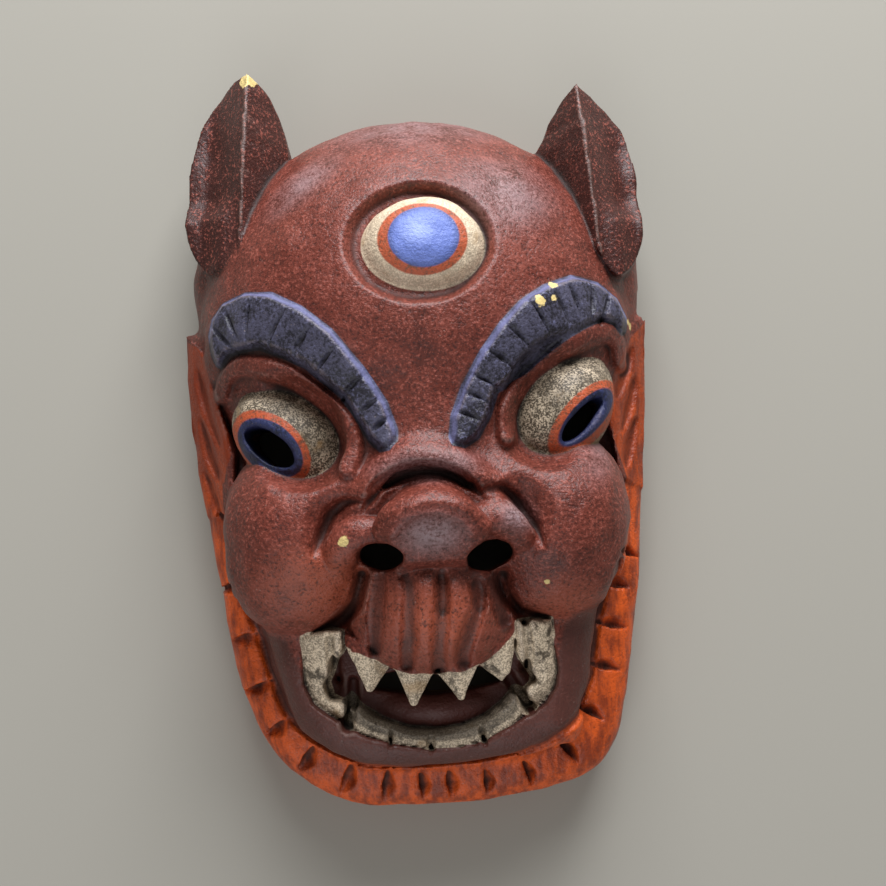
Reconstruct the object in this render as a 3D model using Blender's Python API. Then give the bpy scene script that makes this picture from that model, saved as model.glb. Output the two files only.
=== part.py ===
"""A painted wooden wall mask, carved from one block: a fierce three-eyed spirit with animal ears.

The flat rim lies on Z = 0, the face looks along +Z and the ears point along +Y. The block is a grid
of signed distances, negative in the wood. Each stroke of the carving adds wood to it or cuts wood
away, with a soft or a sharp edge, and the surface is meshed at the end.

The strokes are placed in carver's units, of which the mask is 270 tall, 173 wide and 96 deep. The
finished surface is stretched to the real height, width and depth and centred on the origin.
"""

from collections import namedtuple

import bmesh
import bpy
import numpy as np
import openvdb

# Driving dimensions, in metres
MASK_HEIGHT = 0.270
MASK_WIDTH = 0.173
MASK_DEPTH = 0.096
WALL = 0.011
LEAST_WALL = 0.007
EYE_HOLE_LENGTH = 0.020
EYE_HOLE_WIDTH = 0.0095
NOSTRIL_LENGTH = 0.0155
NOSTRIL_WIDTH = 0.0092
MOUTH_SLOT_LENGTH = 0.050
MOUTH_SLOT_WIDTH = 0.009

# The carver's units of the same three sizes
UNITS = np.array([173.0, 270.0, 96.0])
REAL_SIZE = np.array([MASK_WIDTH, MASK_HEIGHT, MASK_DEPTH])
MEAN_UNIT = float((REAL_SIZE / UNITS).mean())

# Fineness of the work
VOXEL = 1.2
MOST_TRIANGLES = 9550
FAR = 60.0
PATH_STEPS = 6

PAINT = (0.195, 0.048, 0.040, 1.0)
PAINT_ROUGHNESS = 0.5

Shape = namedtuple("Shape", "low high distance")


def units(metres):
    """A real length in carver's units."""
    return metres / MEAN_UNIT


def blend_of(a, b, radius):
    """The smaller of two distances, with the corner between them filled to about this radius."""
    if radius <= 0:
        return np.minimum(a, b)
    share = np.clip(0.5 + 0.5 * (b - a) / radius, 0, 1)
    return b + (a - b) * share - radius * share * (1 - share)


def curve_through(points, steps=PATH_STEPS):
    """A smooth path through a few points, a Catmull-Rom spline."""
    points = np.array(points, float)
    ends = np.vstack([2 * points[0] - points[1], points, 2 * points[-1] - points[-2]])
    t = np.linspace(0, 1, steps, endpoint=False)[:, None]
    path = []
    for p0, p1, p2, p3 in zip(ends, ends[1:], ends[2:], ends[3:]):
        bend = 2 * p0 - 5 * p1 + 4 * p2 - p3
        twist = 3 * p1 - p0 - 3 * p2 + p3
        path.append(p1 + 0.5 * ((p2 - p0) * t + bend * t**2 + twist * t**3))
    return np.vstack(path + [points[-1:]])


def soft_step(value):
    """0 below 0, 1 above 1 and a smooth rise between."""
    value = np.clip(value, 0, 1)
    return value * value * (3 - 2 * value)


def ellipsoid(centre, radii, turn=0.0):
    """An egg shape, turned about Z by this many degrees."""
    centre, radii = np.array(centre, float), np.array(radii, float)
    cos, sin = np.cos(np.radians(turn)), np.sin(np.radians(turn))
    reach = np.array([max(radii[:2]), max(radii[:2]), radii[2]])

    def distance(x, y, z):
        x, y, z = x - centre[0], y - centre[1], z - centre[2]
        u, v, w = (x * cos + y * sin) / radii[0], (y * cos - x * sin) / radii[1], z / radii[2]
        size = np.sqrt(u * u + v * v + w * w)
        slope = np.sqrt((u / radii[0]) ** 2 + (v / radii[1]) ** 2 + (w / radii[2]) ** 2)
        return np.where(size < 1e-3, -radii.min(), size * (size - 1) / np.maximum(slope, 1e-6))

    return Shape(centre - reach, centre + reach, distance)


def tube(points, radii):
    """A round bar along a smooth path, with a radius for each of its points."""
    path = curve_through(points)
    radii = np.broadcast_to(radii, len(points))
    sizes = np.interp(np.linspace(0, len(points) - 1, len(path)), range(len(points)), radii)
    reach = sizes.max()

    def distance(x, y, z):
        nearest = None
        for start, end, first, last in zip(path, path[1:], sizes, sizes[1:]):
            run = end - start
            dx, dy, dz = x - start[0], y - start[1], z - start[2]
            along = np.clip((dx * run[0] + dy * run[1] + dz * run[2]) / (run @ run), 0, 1)
            gap = (dx - along * run[0]) ** 2 + (dy - along * run[1]) ** 2
            gap = np.sqrt(gap + (dz - along * run[2]) ** 2) - (first + along * (last - first))
            nearest = gap if nearest is None else np.minimum(nearest, gap)
        return nearest

    return Shape(path.min(axis=0) - reach, path.max(axis=0) + reach, distance)


def outline_distance(outline, x, y):
    """Signed distance in the plane to a closed outline, negative inside."""
    best, inside = None, False
    for a, b in zip(outline, np.roll(outline, -1, axis=0)):
        run = b - a
        along = np.clip(((x - a[0]) * run[0] + (y - a[1]) * run[1]) / (run @ run), 0, 1)
        gap = (x - a[0] - along * run[0]) ** 2 + (y - a[1] - along * run[1]) ** 2
        best = gap if best is None else np.minimum(best, gap)
        if a[1] != b[1]:
            crosses = ((a[1] > y) != (b[1] > y)) & (x < a[0] + run[0] * (y - a[1]) / run[1])
            inside = inside ^ crosses
    return np.sqrt(best) * np.where(inside, -1, 1)


def path_distance(path, x, y):
    """Distance in the plane to a path, and how far along it the nearest place is, from 0 to 1."""
    share = np.linspace(0, 1, len(path))
    best, place = None, None
    for start, end, s0, s1 in zip(path, path[1:], share, share[1:]):
        run = end - start
        along = np.clip(((x - start[0]) * run[0] + (y - start[1]) * run[1]) / (run @ run), 0, 1)
        gap = np.hypot(x - start[0] - along * run[0], y - start[1] - along * run[1])
        if best is None:
            best, place = gap, s0 + along * (s1 - s0)
        else:
            place = np.where(gap < best, s0 + along * (s1 - s0), place)
            best = np.minimum(best, gap)
    return best, place


def slab(outline, inset, top, rounding):
    """A board of this outline, from below the rim up to top, its upper edge rounded over."""
    outline = curve_through(outline)
    low, high = outline.min(axis=0), outline.max(axis=0)

    def distance(x, y, z):
        side = outline_distance(outline, x, y) + inset + rounding
        above = z - top + rounding
        corner = np.sqrt(np.maximum(side, 0) ** 2 + np.maximum(above, 0) ** 2)
        return corner + np.minimum(np.maximum(side, above), 0) - rounding

    return Shape((*low, BELOW), (*high, top), distance)


def block_under(outline, bottom, top, steepness=0.7):
    """A block of this outline whose upper side is a surface, top(x, y, distance inside the outline)."""
    outline = np.array(outline, float)
    low, high = outline.min(axis=0), outline.max(axis=0)

    def distance(x, y, z):
        side = outline_distance(outline, x, y)
        return np.maximum(np.maximum(side, (z - top(x, y, -side)) * steepness), bottom - z)

    return Shape((*low, bottom), (*high, ABOVE - REACH), distance)


def well(outline, floor, rounding):
    """The space above a floor, within an outline: what a gouge clears out from the front."""
    outline = np.array(outline, float)
    low, high = outline.min(axis=0), outline.max(axis=0)

    def distance(x, y, z):
        side = outline_distance(outline, x, y) + rounding
        below = floor - z + rounding
        corner = np.sqrt(np.maximum(side, 0) ** 2 + np.maximum(below, 0) ** 2)
        return corner + np.minimum(np.maximum(side, below), 0) - rounding

    return Shape((*low, floor), (*high, ABOVE), distance)


def chip_off(point, facing, centre, radius):
    """The space before a flat cut through a point, as far as an upright round bar reaches."""
    facing = np.array(facing, float) / np.linalg.norm(facing)

    def distance(x, y, z):
        ahead = (x - point[0]) * facing[0] + (y - point[1]) * facing[1] + (z - point[2]) * facing[2]
        return np.maximum(-ahead, np.hypot(x - centre[0], y - centre[1]) - radius)

    low = (centre[0] - radius, centre[1] - radius, point[2] - radius)
    return Shape(low, (centre[0] + radius, centre[1] + radius, ABOVE), distance)


def bore(centre, length, width, turn, top=None):
    """An oval hole along Z, open at the back and as high as top. Its long side is turned by turn degrees."""
    top = ABOVE if top is None else top
    cos, sin = np.cos(np.radians(turn)), np.sin(np.radians(turn))
    half = np.array([length, width]) / 2

    def distance(x, y, z):
        x, y = x - centre[0], y - centre[1]
        u, v = (x * cos + y * sin) / half[0], (y * cos - x * sin) / half[1]
        size = np.sqrt(u * u + v * v)
        slope = np.sqrt((u / half[0]) ** 2 + (v / half[1]) ** 2)
        return np.maximum(size * (size - 1) / np.maximum(slope, 1e-6), z - top)

    reach = max(half)
    return Shape(
        (centre[0] - reach, centre[1] - reach, BELOW),
        (centre[0] + reach, centre[1] + reach, top),
        distance,
    )


class Block:
    """Signed distances on a grid. Each stroke works only in the part of the grid that it can reach."""

    def __init__(self, low, high, step):
        self.low, self.step = np.array(low, float), step
        counts = np.ceil((np.array(high) - self.low) / step).astype(int) + 1
        self.distance = np.full(counts, FAR, np.float32)
        self.axes = [start + step * np.arange(n) for start, n in zip(self.low, counts)]

    def window(self, low, high, margin):
        spans = []
        for axis, start, end in zip(self.axes, low, high):
            spans.append(slice(*np.searchsorted(axis, (start - margin, end + margin))))
        x, y, z = (axis[span].astype(np.float32) for axis, span in zip(self.axes, spans))
        return tuple(spans), x[:, None, None], y[None, :, None], z[None, None, :]

    def add(self, shape, blend=0.0):
        spans, x, y, z = self.window(shape.low, shape.high, REACH + blend)
        self.distance[spans] = blend_of(self.distance[spans], shape.distance(x, y, z), blend)

    def cut(self, shape, blend=0.0):
        spans, x, y, z = self.window(shape.low, shape.high, REACH + blend)
        self.distance[spans] = -blend_of(-self.distance[spans], shape.distance(x, y, z), blend)

    def over(self, corners, margin):
        """The part of the grid above and below these places, with its X and Y."""
        corners = np.array(corners, float)[:, :2]
        low, high = corners.min(axis=0) - margin, corners.max(axis=0) + margin
        spans, x, y, _ = self.window((*low, BELOW), (*high, ABOVE), 0)
        return spans, x, y

    def furrow(self, points, half_width, depth, edge):
        """Sinks a smooth line through these points, or raises it where the depth is negative."""
        path = curve_through(points)
        spans, x, y = self.over(path, half_width + edge)
        gap, _ = path_distance(path, x, y)
        self.distance[spans] += depth * soft_step((half_width + edge - gap) / edge)

    def nick(self, points, half_width, depth):
        """Sinks a short cut that is widest and deepest in its middle and runs out at both ends."""
        path = curve_through(points)
        spans, x, y = self.over(path, half_width)
        gap, place = path_distance(path, x, y)
        full = half_width * np.sqrt(np.maximum(4 * place * (1 - place), 1e-6))
        self.distance[spans] += depth * soft_step(1.2 - gap / full) * soft_step(full / half_width)

    def area(self, outline, height, edge):
        """Raises the area inside an outline, or sinks it, with a border as wide as edge."""
        outline = np.array(outline, float)
        spans, x, y = self.over(outline, 0)
        self.distance[spans] -= height * soft_step(-outline_distance(outline, x, y) / edge)

    def disc(self, centre, radii, height, edge):
        """Raises or sinks an oval area, whose border slopes over the width of edge."""
        corners = np.array([np.subtract(centre, radii), np.add(centre, radii)])
        spans, x, y = self.over(corners, edge)
        size = np.hypot((x - centre[0]) / radii[0], (y - centre[1]) / radii[1])
        self.distance[spans] -= height * soft_step((1 - size) * min(radii) / edge)


# How far the grid and a stroke reach, and how smooth the hollow is, in carver's units
BELOW, ABOVE = -5.0, 112.0
REACH = 16.0
HOLLOW_SOFTNESS = 14.0
GRID_LOW = (-94.0, -143.0, BELOW)
GRID_HIGH = (94.0, 142.0, ABOVE)

# The outline of the block seen from the front: tuft, jaw, chin, jaw and tuft
LOWER_OUTLINE = (
    (-85, 44), (-83, 4), (-77, -52), (-70, -92), (-58, -117), (-37, -132), (-15, -136),
    (22, -135), (52, -129), (64, -118), (70, -98), (78, -52), (83, 4), (86, 40),
)
BORDER_TOP, BORDER_ROUND = 29.0, 12.0
JAW_INSET, JAW_TOP, JAW_ROUND = 17.0, 52.0, 15.0


def main_masses(block, soft=0):
    """The big forms that the carver roughs out. Soft rounds the creases between them by that much more."""
    block.add(ellipsoid((1, 40, 0), (84, 82, 82)))
    block.add(slab(LOWER_OUTLINE, 0, BORDER_TOP, BORDER_ROUND), 3 + soft)
    jaw = [(x, min(y, -4)) for x, y in LOWER_OUTLINE[1:-1]]
    block.add(slab(jaw, JAW_INSET, JAW_TOP, JAW_ROUND), 8 + soft)
    for side, x, outer in ((-1, -43, 27), (1, 44, 28)):
        block.add(ellipsoid((x, -34, 40), (outer, 33, 36), side * -12), 8 + soft)
        block.add(ellipsoid((side * 24, -22, 41), (22, 26, 34)), 14 + soft)
        block.add(ellipsoid((side * 44.5, -44, 44), (25, 25, 27)), 2 + soft)
    block.add(ellipsoid((1, -58, 40), (32, 32, 40)), 4 + soft)
    block.add(ellipsoid((2, -6, 43), (20, 30, 34)), 14 + soft)
    block.add(ellipsoid((2, -29, 47), (30, 24, 31)), 6 + soft)


LEFT_EAR = ((-54.6, 135), (-62, 133), (-68, 128), (-73.7, 118.4), (-77, 108), (-78.7, 97),
            (-79, 88), (-79, 80), (-77.4, 71), (-72, 62), (-63, 64), (-57, 72), (-50, 88),
            (-43, 104), (-43.5, 117), (-46, 125), (-50, 131.5))
RIGHT_EAR = ((65, 124), (72, 119), (77, 114.5), (81, 109), (83.5, 102), (85, 90), (85, 75),
             (84, 64), (79, 54), (73, 51), (67, 59), (61, 70), (55, 81), (49.5, 93), (49, 101),
             (53, 110), (58, 118))
EAR_ROOTS = ((-59, 72), (68, 62))
EAR_RIDGE, EAR_TIP, EAR_UNDERCUT = 50.0, 41.0, 20.0
EAR_BACK_SLOPE, EAR_SCOOP, EAR_FLOOR = 1.6, 17.0, 6.0
EAR_LOBES = (((-73, 61, 12), (9, 14, 16)), ((76.5, 55, 12), (9, 20, 17)))


def ears(block):
    """Two leaf-shaped ears on the sides of the skull, each with a ridge and a scooped outer side."""
    for side, corners, root, lobe in zip((-1, 1), (LEFT_EAR, RIGHT_EAR), EAR_ROOTS, EAR_LOBES):
        block.add(ear(np.array(corners), np.array(root), side), 1.5)
        block.add(ellipsoid(*lobe), 4)


def ear(corners, root, side):
    """A leaf from its tip round to its tip. Its top is a ridge, a plane behind it and a scoop before it."""
    outline = curve_through(np.vstack([corners, corners[:1]]))[:-1]
    tip = corners[0]

    def top(x, y, inside):
        share = (y - root[1]) / (tip[1] - root[1])
        ridge_x = root[0] + share * (tip[0] - root[0])
        ridge_z = EAR_RIDGE - (EAR_RIDGE - EAR_TIP) * np.clip(share, 0, 1) ** 2
        across = (x - ridge_x) * side
        back = ridge_z + np.minimum(across + 1.5, 0) * EAR_BACK_SLOPE
        floor = EAR_FLOOR * soft_step((0.32 - share) * 5)
        scoop = ridge_z - EAR_SCOOP * soft_step(across / 20 + 0.2) + floor * soft_step(across / 9)
        return np.where(across > 0, scoop, back)

    leaf = block_under(outline, BELOW, top)

    def distance(x, y, z):
        share = np.clip((y - root[1]) / (tip[1] - root[1]), 0, 1.2)
        return np.maximum(leaf.distance(x, y, z), EAR_UNDERCUT * share - z)

    return Shape(leaf.low, (*leaf.high[:2], EAR_RIDGE), distance)


THIRD_EYE = ((5.5, 59, 70), (20.5, 17.5, 12.5))


def third_eye(block):
    """The eye on the forehead: a sunk oval ring with a ball in it."""
    block.disc((4.5, 60.5), (26, 22.5), -5.0, 4.0)
    block.add(ellipsoid(*THIRD_EYE), 1.0)


LEFT_BROW = ((-9, -5), (-13, 3), (-20, 13), (-30, 24), (-42, 34), (-54, 40), (-63, 38), (-67, 31))
RIGHT_BROW = ((14, -4), (18, 4), (24, 14), (33, 25), (44, 34), (55, 39), (64, 39), (70, 33))
LEFT_BROW_OUTLINE = (
    (-72.3, 38.2), (-70.6, 44.3), (-66, 49.1), (-56.5, 50.6), (-45.7, 48.4), (-35.2, 41.7),
    (-25.5, 33), (-16.3, 20.4), (-8.9, 7.9), (-6.1, -1.3), (-6.4, -5.2), (-8.9, -8.3), (-12.8, -8.4),
    (-16, -5.1), (-20.8, 3.9), (-24.6, 10.3), (-30.5, 16.4), (-36.2, 21.4), (-43.4, 25.6),
    (-51.7, 29.6), (-58.5, 29.8), (-63.6, 29.4), (-68.1, 26.1), (-70.6, 27.5), (-72.1, 32.1),
)
RIGHT_BROW_OUTLINE = (
    (10, -5), (11, 2), (15, 12), (22, 23), (29, 32), (36, 39), (45, 45), (55, 49), (66, 48),
    (73, 43), (77, 36), (76, 31), (73, 29), (70, 32), (65, 33), (57, 29), (47, 23), (38, 16), (27, 9),
    (24, 1), (20, -6), (15, -9), (11, -8),
)
BROW_HEIGHTS = (66, 67, 65, 61, 55, 47, 40, 34)
BROW_RADII = (5, 6, 7.5, 8.5, 9, 9.5, 9.5, 7)
BROW_LIFT, BROW_BEVEL = 4.0, 3.0
BROW_NOTCHES = (7, 9)


def brows(block):
    """Two thick brows, from the root of the nose up and over the eyes."""
    for path, outline in ((LEFT_BROW, LEFT_BROW_OUTLINE), (RIGHT_BROW, RIGHT_BROW_OUTLINE)):
        lift = [(x, y, z) for (x, y), z in zip(path, BROW_HEIGHTS)]
        block.add(tube(lift, BROW_RADII), 5)
        block.area(outline, BROW_LIFT, BROW_BEVEL)


def brow_cuts(path, count):
    """The two ends of each notch across a brow."""
    line = curve_through(path)
    ends = []
    for place in np.linspace(0.10, 0.92, count):
        at = place * (len(line) - 1)
        run = line[min(int(at) + 1, len(line) - 1)] - line[int(at) - 1]
        across = np.array([-run[1], run[0]]) / np.hypot(*run)
        half = 4.5 + 5.5 * place
        ends.append((line[int(at)] - across * half, line[int(at)] + across * half))
    return ends


EYES = {
    "left": {"centre": (-43.5, -0.5), "turn": -38, "hole": (-50.1, -3.4), "hole_turn": -38},
    "right": {"centre": (49, 3), "turn": 48, "hole": (55.5, -0.8), "hole_turn": 45},
}
EYE_BALL, EYE_BALL_Z = (23.0, 17.0, 20.0), 47.0
LIDS = (
    ((-68.7, 18.4), (-66.6, 22.2), (-62.1, 24.8), (-57.2, 25.1), (-47, 22.1), (-39.4, 17.8),
     (-32.7, 12.4), (-26.9, 6.9), (-22.9, 0.2), (-21.7, -6.5), (-23.5, -12.8)),
    ((29.6, -5.1), (30.5, 3.3), (35.7, 10.8), (43.9, 17.4), (52.2, 23.6), (61, 28.3), (67.8, 29.8),
     (72.1, 26.5), (73.3, 20.8)),
)
LID_HALF_WIDTH, LID_HEIGHT, LID_SLOPE = 1.6, 3.0, 3.0


def eyes(block):
    """Bulging eyeballs in deep sockets under the brows, each with a lid above it."""
    for eye, lid in zip(EYES.values(), LIDS):
        x, y = eye["centre"]
        block.cut(ellipsoid((x, y + 3, 72), (25, 19.5, 18), eye["turn"]), 3)
        block.furrow(lid, LID_HALF_WIDTH, -LID_HEIGHT, LID_SLOPE)
        block.add(ellipsoid((x, y, EYE_BALL_Z), EYE_BALL, eye["turn"]), 0.8)


ARCH = ((-20, -27, 70), (-16, -20, 75), (-9.8, -13.8, 77), (-4.9, -11.5, 77.5), (1.7, -11, 78),
        (8.2, -12.2, 77.5), (14.6, -16, 77), (21, -21.5, 75), (25, -28, 70))
ARCH_GROOVE = ((-19.5, -28), (-16.7, -23.7), (-13, -19.2), (-4.2, -15.6), (2.5, -15), (10, -16.9),
               (16.4, -21.1), (20.5, -26))
WING_GROOVES = (
    ((-37, -42), (-34, -35), (-31, -29), (-28, -25.7), (-24.3, -24.1), (-18, -24)),
    ((19, -24), (22, -22.9), (26, -22.9), (29.5, -25.4), (33, -30), (37.5, -37), (39, -44)),
)
WING_HOLLOWS = ((-27, -33), (31, -32))
WINGS = (
    (((-14, -34.5, 75), (-21.5, -35, 74), (-27, -39, 71), (-29.5, -46, 65)), (5, 6.3, 6.5, 4.5)),
    (((19, -32, 76), (25.5, -32.5, 75), (30.5, -38, 71), (33.5, -46, 66)), (5.5, 6.5, 6, 3)),
)
BULB = ((2.6, -35.5, 73), (17.4, 16.8, 23))
BULB_BROW = ((-12, -34, 83), (-8, -29.5, 87), (-0.8, -27.3, 89), (5, -27.3, 89), (11.5, -29.5, 87.5),
             (17, -35, 83))
BULB_RIDGE, BULB_FACING = (2.6, -26.5, 94.0), (0.06, -0.47, 0.88)
BULB_FOOT, FOOT_FACING = (2.6, -45.5, 82.0), (0.0, -1.0, 0.35)
NOSTRILS = ((-14.4, -42.6, -9), (21.0, -44.3, 13))


def nose(block):
    """The snout: a folded arch over a broad bulb with a flat front, and a wing on each side."""
    for x, y in WING_HOLLOWS:
        block.disc((x, y), (14, 15), -3.6, 9.0)
    block.add(tube(ARCH, 5.0), 6)
    for wing in WINGS:
        block.add(tube(*wing), 1.2)
    block.nick(ARCH_GROOVE, 3.0, 3.4)
    for groove in WING_GROOVES:
        block.nick(groove, 2.6, 2.6)
    bulb = Block(GRID_LOW, GRID_HIGH, block.step)
    bulb.add(ellipsoid(*BULB))
    bulb.add(tube(BULB_BROW, 4.4), 4)
    bulb.cut(chip_off(BULB_RIDGE, BULB_FACING, BULB[0], 26), 0.8)
    bulb.cut(chip_off(BULB_FOOT, FOOT_FACING, BULB[0], 26), 0.8)
    block.distance = blend_of(block.distance, bulb.distance, 1.0)
    for fold in MUZZLE_SIDES:
        block.furrow(fold, 0.5, 4.0, 3.2)


MUZZLE_SIDES = (
    ((-21.5, -49), (-22.5, -53), (-25, -58.5), (-30, -63.5), (-38, -69)),
    ((25, -52), (25.5, -56), (28, -61), (32, -65.5), (39, -69.5)),
)
# The grooves between the flutes of the lip: points, half width, depth and width of the slope
MUZZLE_GROOVES = (
    (((-14.7, -48), (-17, -58), (-18.1, -68), (-19, -76)), 0.5, 2.4, 3.2),
    (((-7.1, -48), (-5.4, -53), (-6.2, -65), (-7.7, -74), (-8.5, -81)), 0.5, 2.4, 2.8),
    (((4.6, -49), (4.2, -60.6), (2.6, -73), (2, -83)), 0.5, 2.0, 3.0),
    (((16.2, -51), (16.5, -59), (11.1, -73.5), (10.2, -82)), 0.5, 2.0, 3.0),
    (((21.9, -52), (23.3, -60), (25.1, -69)), 0.5, 2.0, 2.6),
)

MUZZLE_NICKS = (((4.6, -47), (4.9, -55), (4.3, -64)), ((15.0, -52), (16.6, -57), (16.6, -64)))

TUFT_BACKS = {
    -1: ((-85, 43), (-78, 36), (-74, 24), (-70, 10), (-66, -4), (-68, -24), (-80, -26), (-84, 6)),
    1: ((87, 39), (80, 31), (75, 24), (70, 14), (67, 3), (71, -20), (81, -25), (84, 6)),
}
TUFT_EDGE, TUFT_SLOPE, TUFT_TOP = 22.0, 1.3, 39.0


def tufts(block):
    """A flame of hair on each side, from the border up beside the eye, rising toward its inner edge."""
    for side, corners in TUFT_BACKS.items():

        def top(x, y, inside):
            inward = 85.0 - 0.07 * (40 - y) - x * side
            return np.minimum(TUFT_EDGE + TUFT_SLOPE * inward, TUFT_TOP)

        block.add(block_under(corners, BELOW, top, 0.6), 1.0)


MOUTH = (
    (-44.6, -71), (-34, -69.5), (-30, -72.5), (-25.6, -75.0), (-19.7, -77.8), (-13, -81.2),
    (-8.3, -82.6), (1.1, -83.4), (10.6, -83.2), (16.6, -80.8), (21.7, -77.9), (26.1, -74.2),
    (30, -70.5), (41, -71), (43, -86), (41.5, -92.3), (37.7, -97.2), (30.7, -100.8), (25.8, -104.4),
    (16, -108.8), (5.7, -110.6), (-3.6, -110.4), (-15, -108.2), (-24, -105.1), (-31, -101.1),
    (-37, -96.8), (-42, -92.8), (-44.8, -86),
)
MOUTH_FLOOR, SLOT_TOP = 40.0, 46.0
FANGS = (
    ((-29.2, -71.7), (-13.9, -79.7), (-21.8, -88.5), 62),
    ((-13.2, -79), (0.7, -82.3), (-7.1, -93.4), 67),
    ((0.7, -82.3), (15, -80.8), (8.9, -92.5), 67),
    ((14.5, -80.5), (28.8, -70.7), (24.2, -88.5), 62),
)
FANG_ROOT, FANG_THICK, FANG_SLOPE = 3.5, 16.0, 0.6
LEFT_CORNER = (
    (-44.9, -68), (-33.7, -67), (-30, -67.5), (-30.4, -74.5), (-33.1, -77.9), (-36.9, -86.4),
    (-35.7, -91.3), (-29.5, -94), (-28.5, -99), (-37.3, -97.6), (-42.7, -93.6), (-45.4, -85.9),
    (-45.8, -77.6),
)
RIGHT_CORNER = (
    (29, -68), (41.3, -68), (42.2, -79.8), (43.8, -86.4), (42.4, -92.8), (38.4, -97.9), (30, -100),
    (28.4, -95.8), (34.6, -89.6), (32.5, -86), (30, -81.9), (28.6, -77.2),
)
LOWER_ROW = (
    (-31.5, -101.9), (-24.1, -105.8), (-15, -108.9), (-3.6, -111.2), (5.7, -111.4), (16.3, -109.7),
    (25.9, -105.2), (31.2, -100.7), (31.5, -93), (27.6, -92), (22.7, -97.3), (16.7, -100.9),
    (8.4, -103.8), (-0.8, -104.3), (-9.9, -103.2), (-18.9, -99.7), (-25.6, -95.3), (-29.4, -91),
    (-33, -94),
)
LOWER_ROW_TOP = 50.0
ROW_NOTCHES = ((-15.9, -106), (-2.2, -108.5), (15.8, -106.8))


def tooth(left, right, tip, top):
    """A broad pointed tooth below the lip. Its front is a ridge from the middle of the root to the tip."""
    left, right, tip = (np.array(p, float) for p in (left, right, tip))
    up = np.array([0.0, FANG_ROOT])
    outline = np.vstack([left + up, left, tip - (0.8, 0), tip + (0.8, 0), right, right + up])
    middle = (left + right) / 2
    along = (tip - middle) / np.hypot(*(tip - middle))

    def front(x, y, inside):
        off_ridge = np.abs((x - middle[0]) * along[1] - (y - middle[1]) * along[0])
        down = (x - middle[0]) * along[0] + (y - middle[1]) * along[1]
        return top - FANG_SLOPE * off_ridge - 0.4 * np.maximum(down, 0)

    return block_under(outline, top - FANG_THICK, front, 0.8)


def corner_block(outline, side):
    """The thick block of a corner tooth, which turns down into the lower row."""

    def front(x, y, inside):
        outward = np.maximum(x * side - 30, 0)
        return 61 - 0.55 * outward - 0.38 * (-70 - y) - 1.5 * soft_step(1 - inside / 2)

    return block_under(outline, MOUTH_FLOOR - 6, front, 0.8)


def lower_row():
    def top(x, y, inside):
        return LOWER_ROW_TOP - 3.0 * soft_step(1 - inside / 2)

    return block_under(LOWER_ROW, MOUTH_FLOOR - 6, top, 0.8)


def teeth():
    corners = [corner_block(LEFT_CORNER, -1), corner_block(RIGHT_CORNER, 1)]
    return [tooth(*fang) for fang in FANGS] + corners + [lower_row()]


def mouth(block):
    """An open mouth under a fluted upper lip, with four fangs, corner teeth, a lower row and a tongue."""
    block.cut(well(MOUTH, MOUTH_FLOOR, 2.0), 1.0)
    block.add(ellipsoid((0, -98, 32), (25, 10, 14)), 2)
    for shape in teeth():
        block.add(shape, 0.4)


# The middle of each gouge across the border of hair
GOUGES = ((-72, -51), (-68, -70), (-64, -88), (-58, -103), (-48, -115), (-34, -123), (-20, -126),
          (-7, -127), (3, -127), (16, -127), (31, -125), (46, -118), (55, -105), (62, -89),
          (65, -74), (68, -60), (71, -48))
GOUGE_LENGTH, GOUGE_HALF_WIDTH, GOUGE_DEPTH = 11.5, 2.7, 3.2
TUFT_GROOVES = (
    ((80, 28), (75.5, 17), (71, 7)), ((80.5, 17), (76.5, 5), (72.5, -5)),
    ((80, 2), (76.5, -8), (74, -18)), ((-80, 30), (-77, 16), (-71, -2)),
    ((-80, 12), (-77, -2), (-72.5, -14)), ((-79.5, -8), (-76, -18), (-73, -28)),
)
HAIR_EDGE = ((-67, -56), (-62, -71), (-58, -85), (-53, -99), (-43, -108), (-31, -114), (-11, -117.5),
             (1, -118), (21, -116.5), (37, -111), (49, -103), (55, -92), (58, -78), (62, -64), (66, -50))


def gouge_line(x, y):
    """Three points of a gouge that points at the middle of the chin and bows to one side."""
    inward = -np.array([x, y + 60.0]) / np.hypot(x, y + 60.0)
    side = np.array([-inward[1], inward[0]]) * np.sign(x)
    middle = np.array([x, y], float)
    half = inward * GOUGE_LENGTH / 2
    return middle - half, middle + side * 1.4, middle + half


def hair_border(block):
    """A crease between the jaw and its border of hair, and flame grooves in the two tufts."""
    block.furrow(HAIR_EDGE, 0.6, 1.6, 1.8)
    for groove in TUFT_GROOVES:
        block.furrow(groove, 0.6, 1.5, 1.6)


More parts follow.
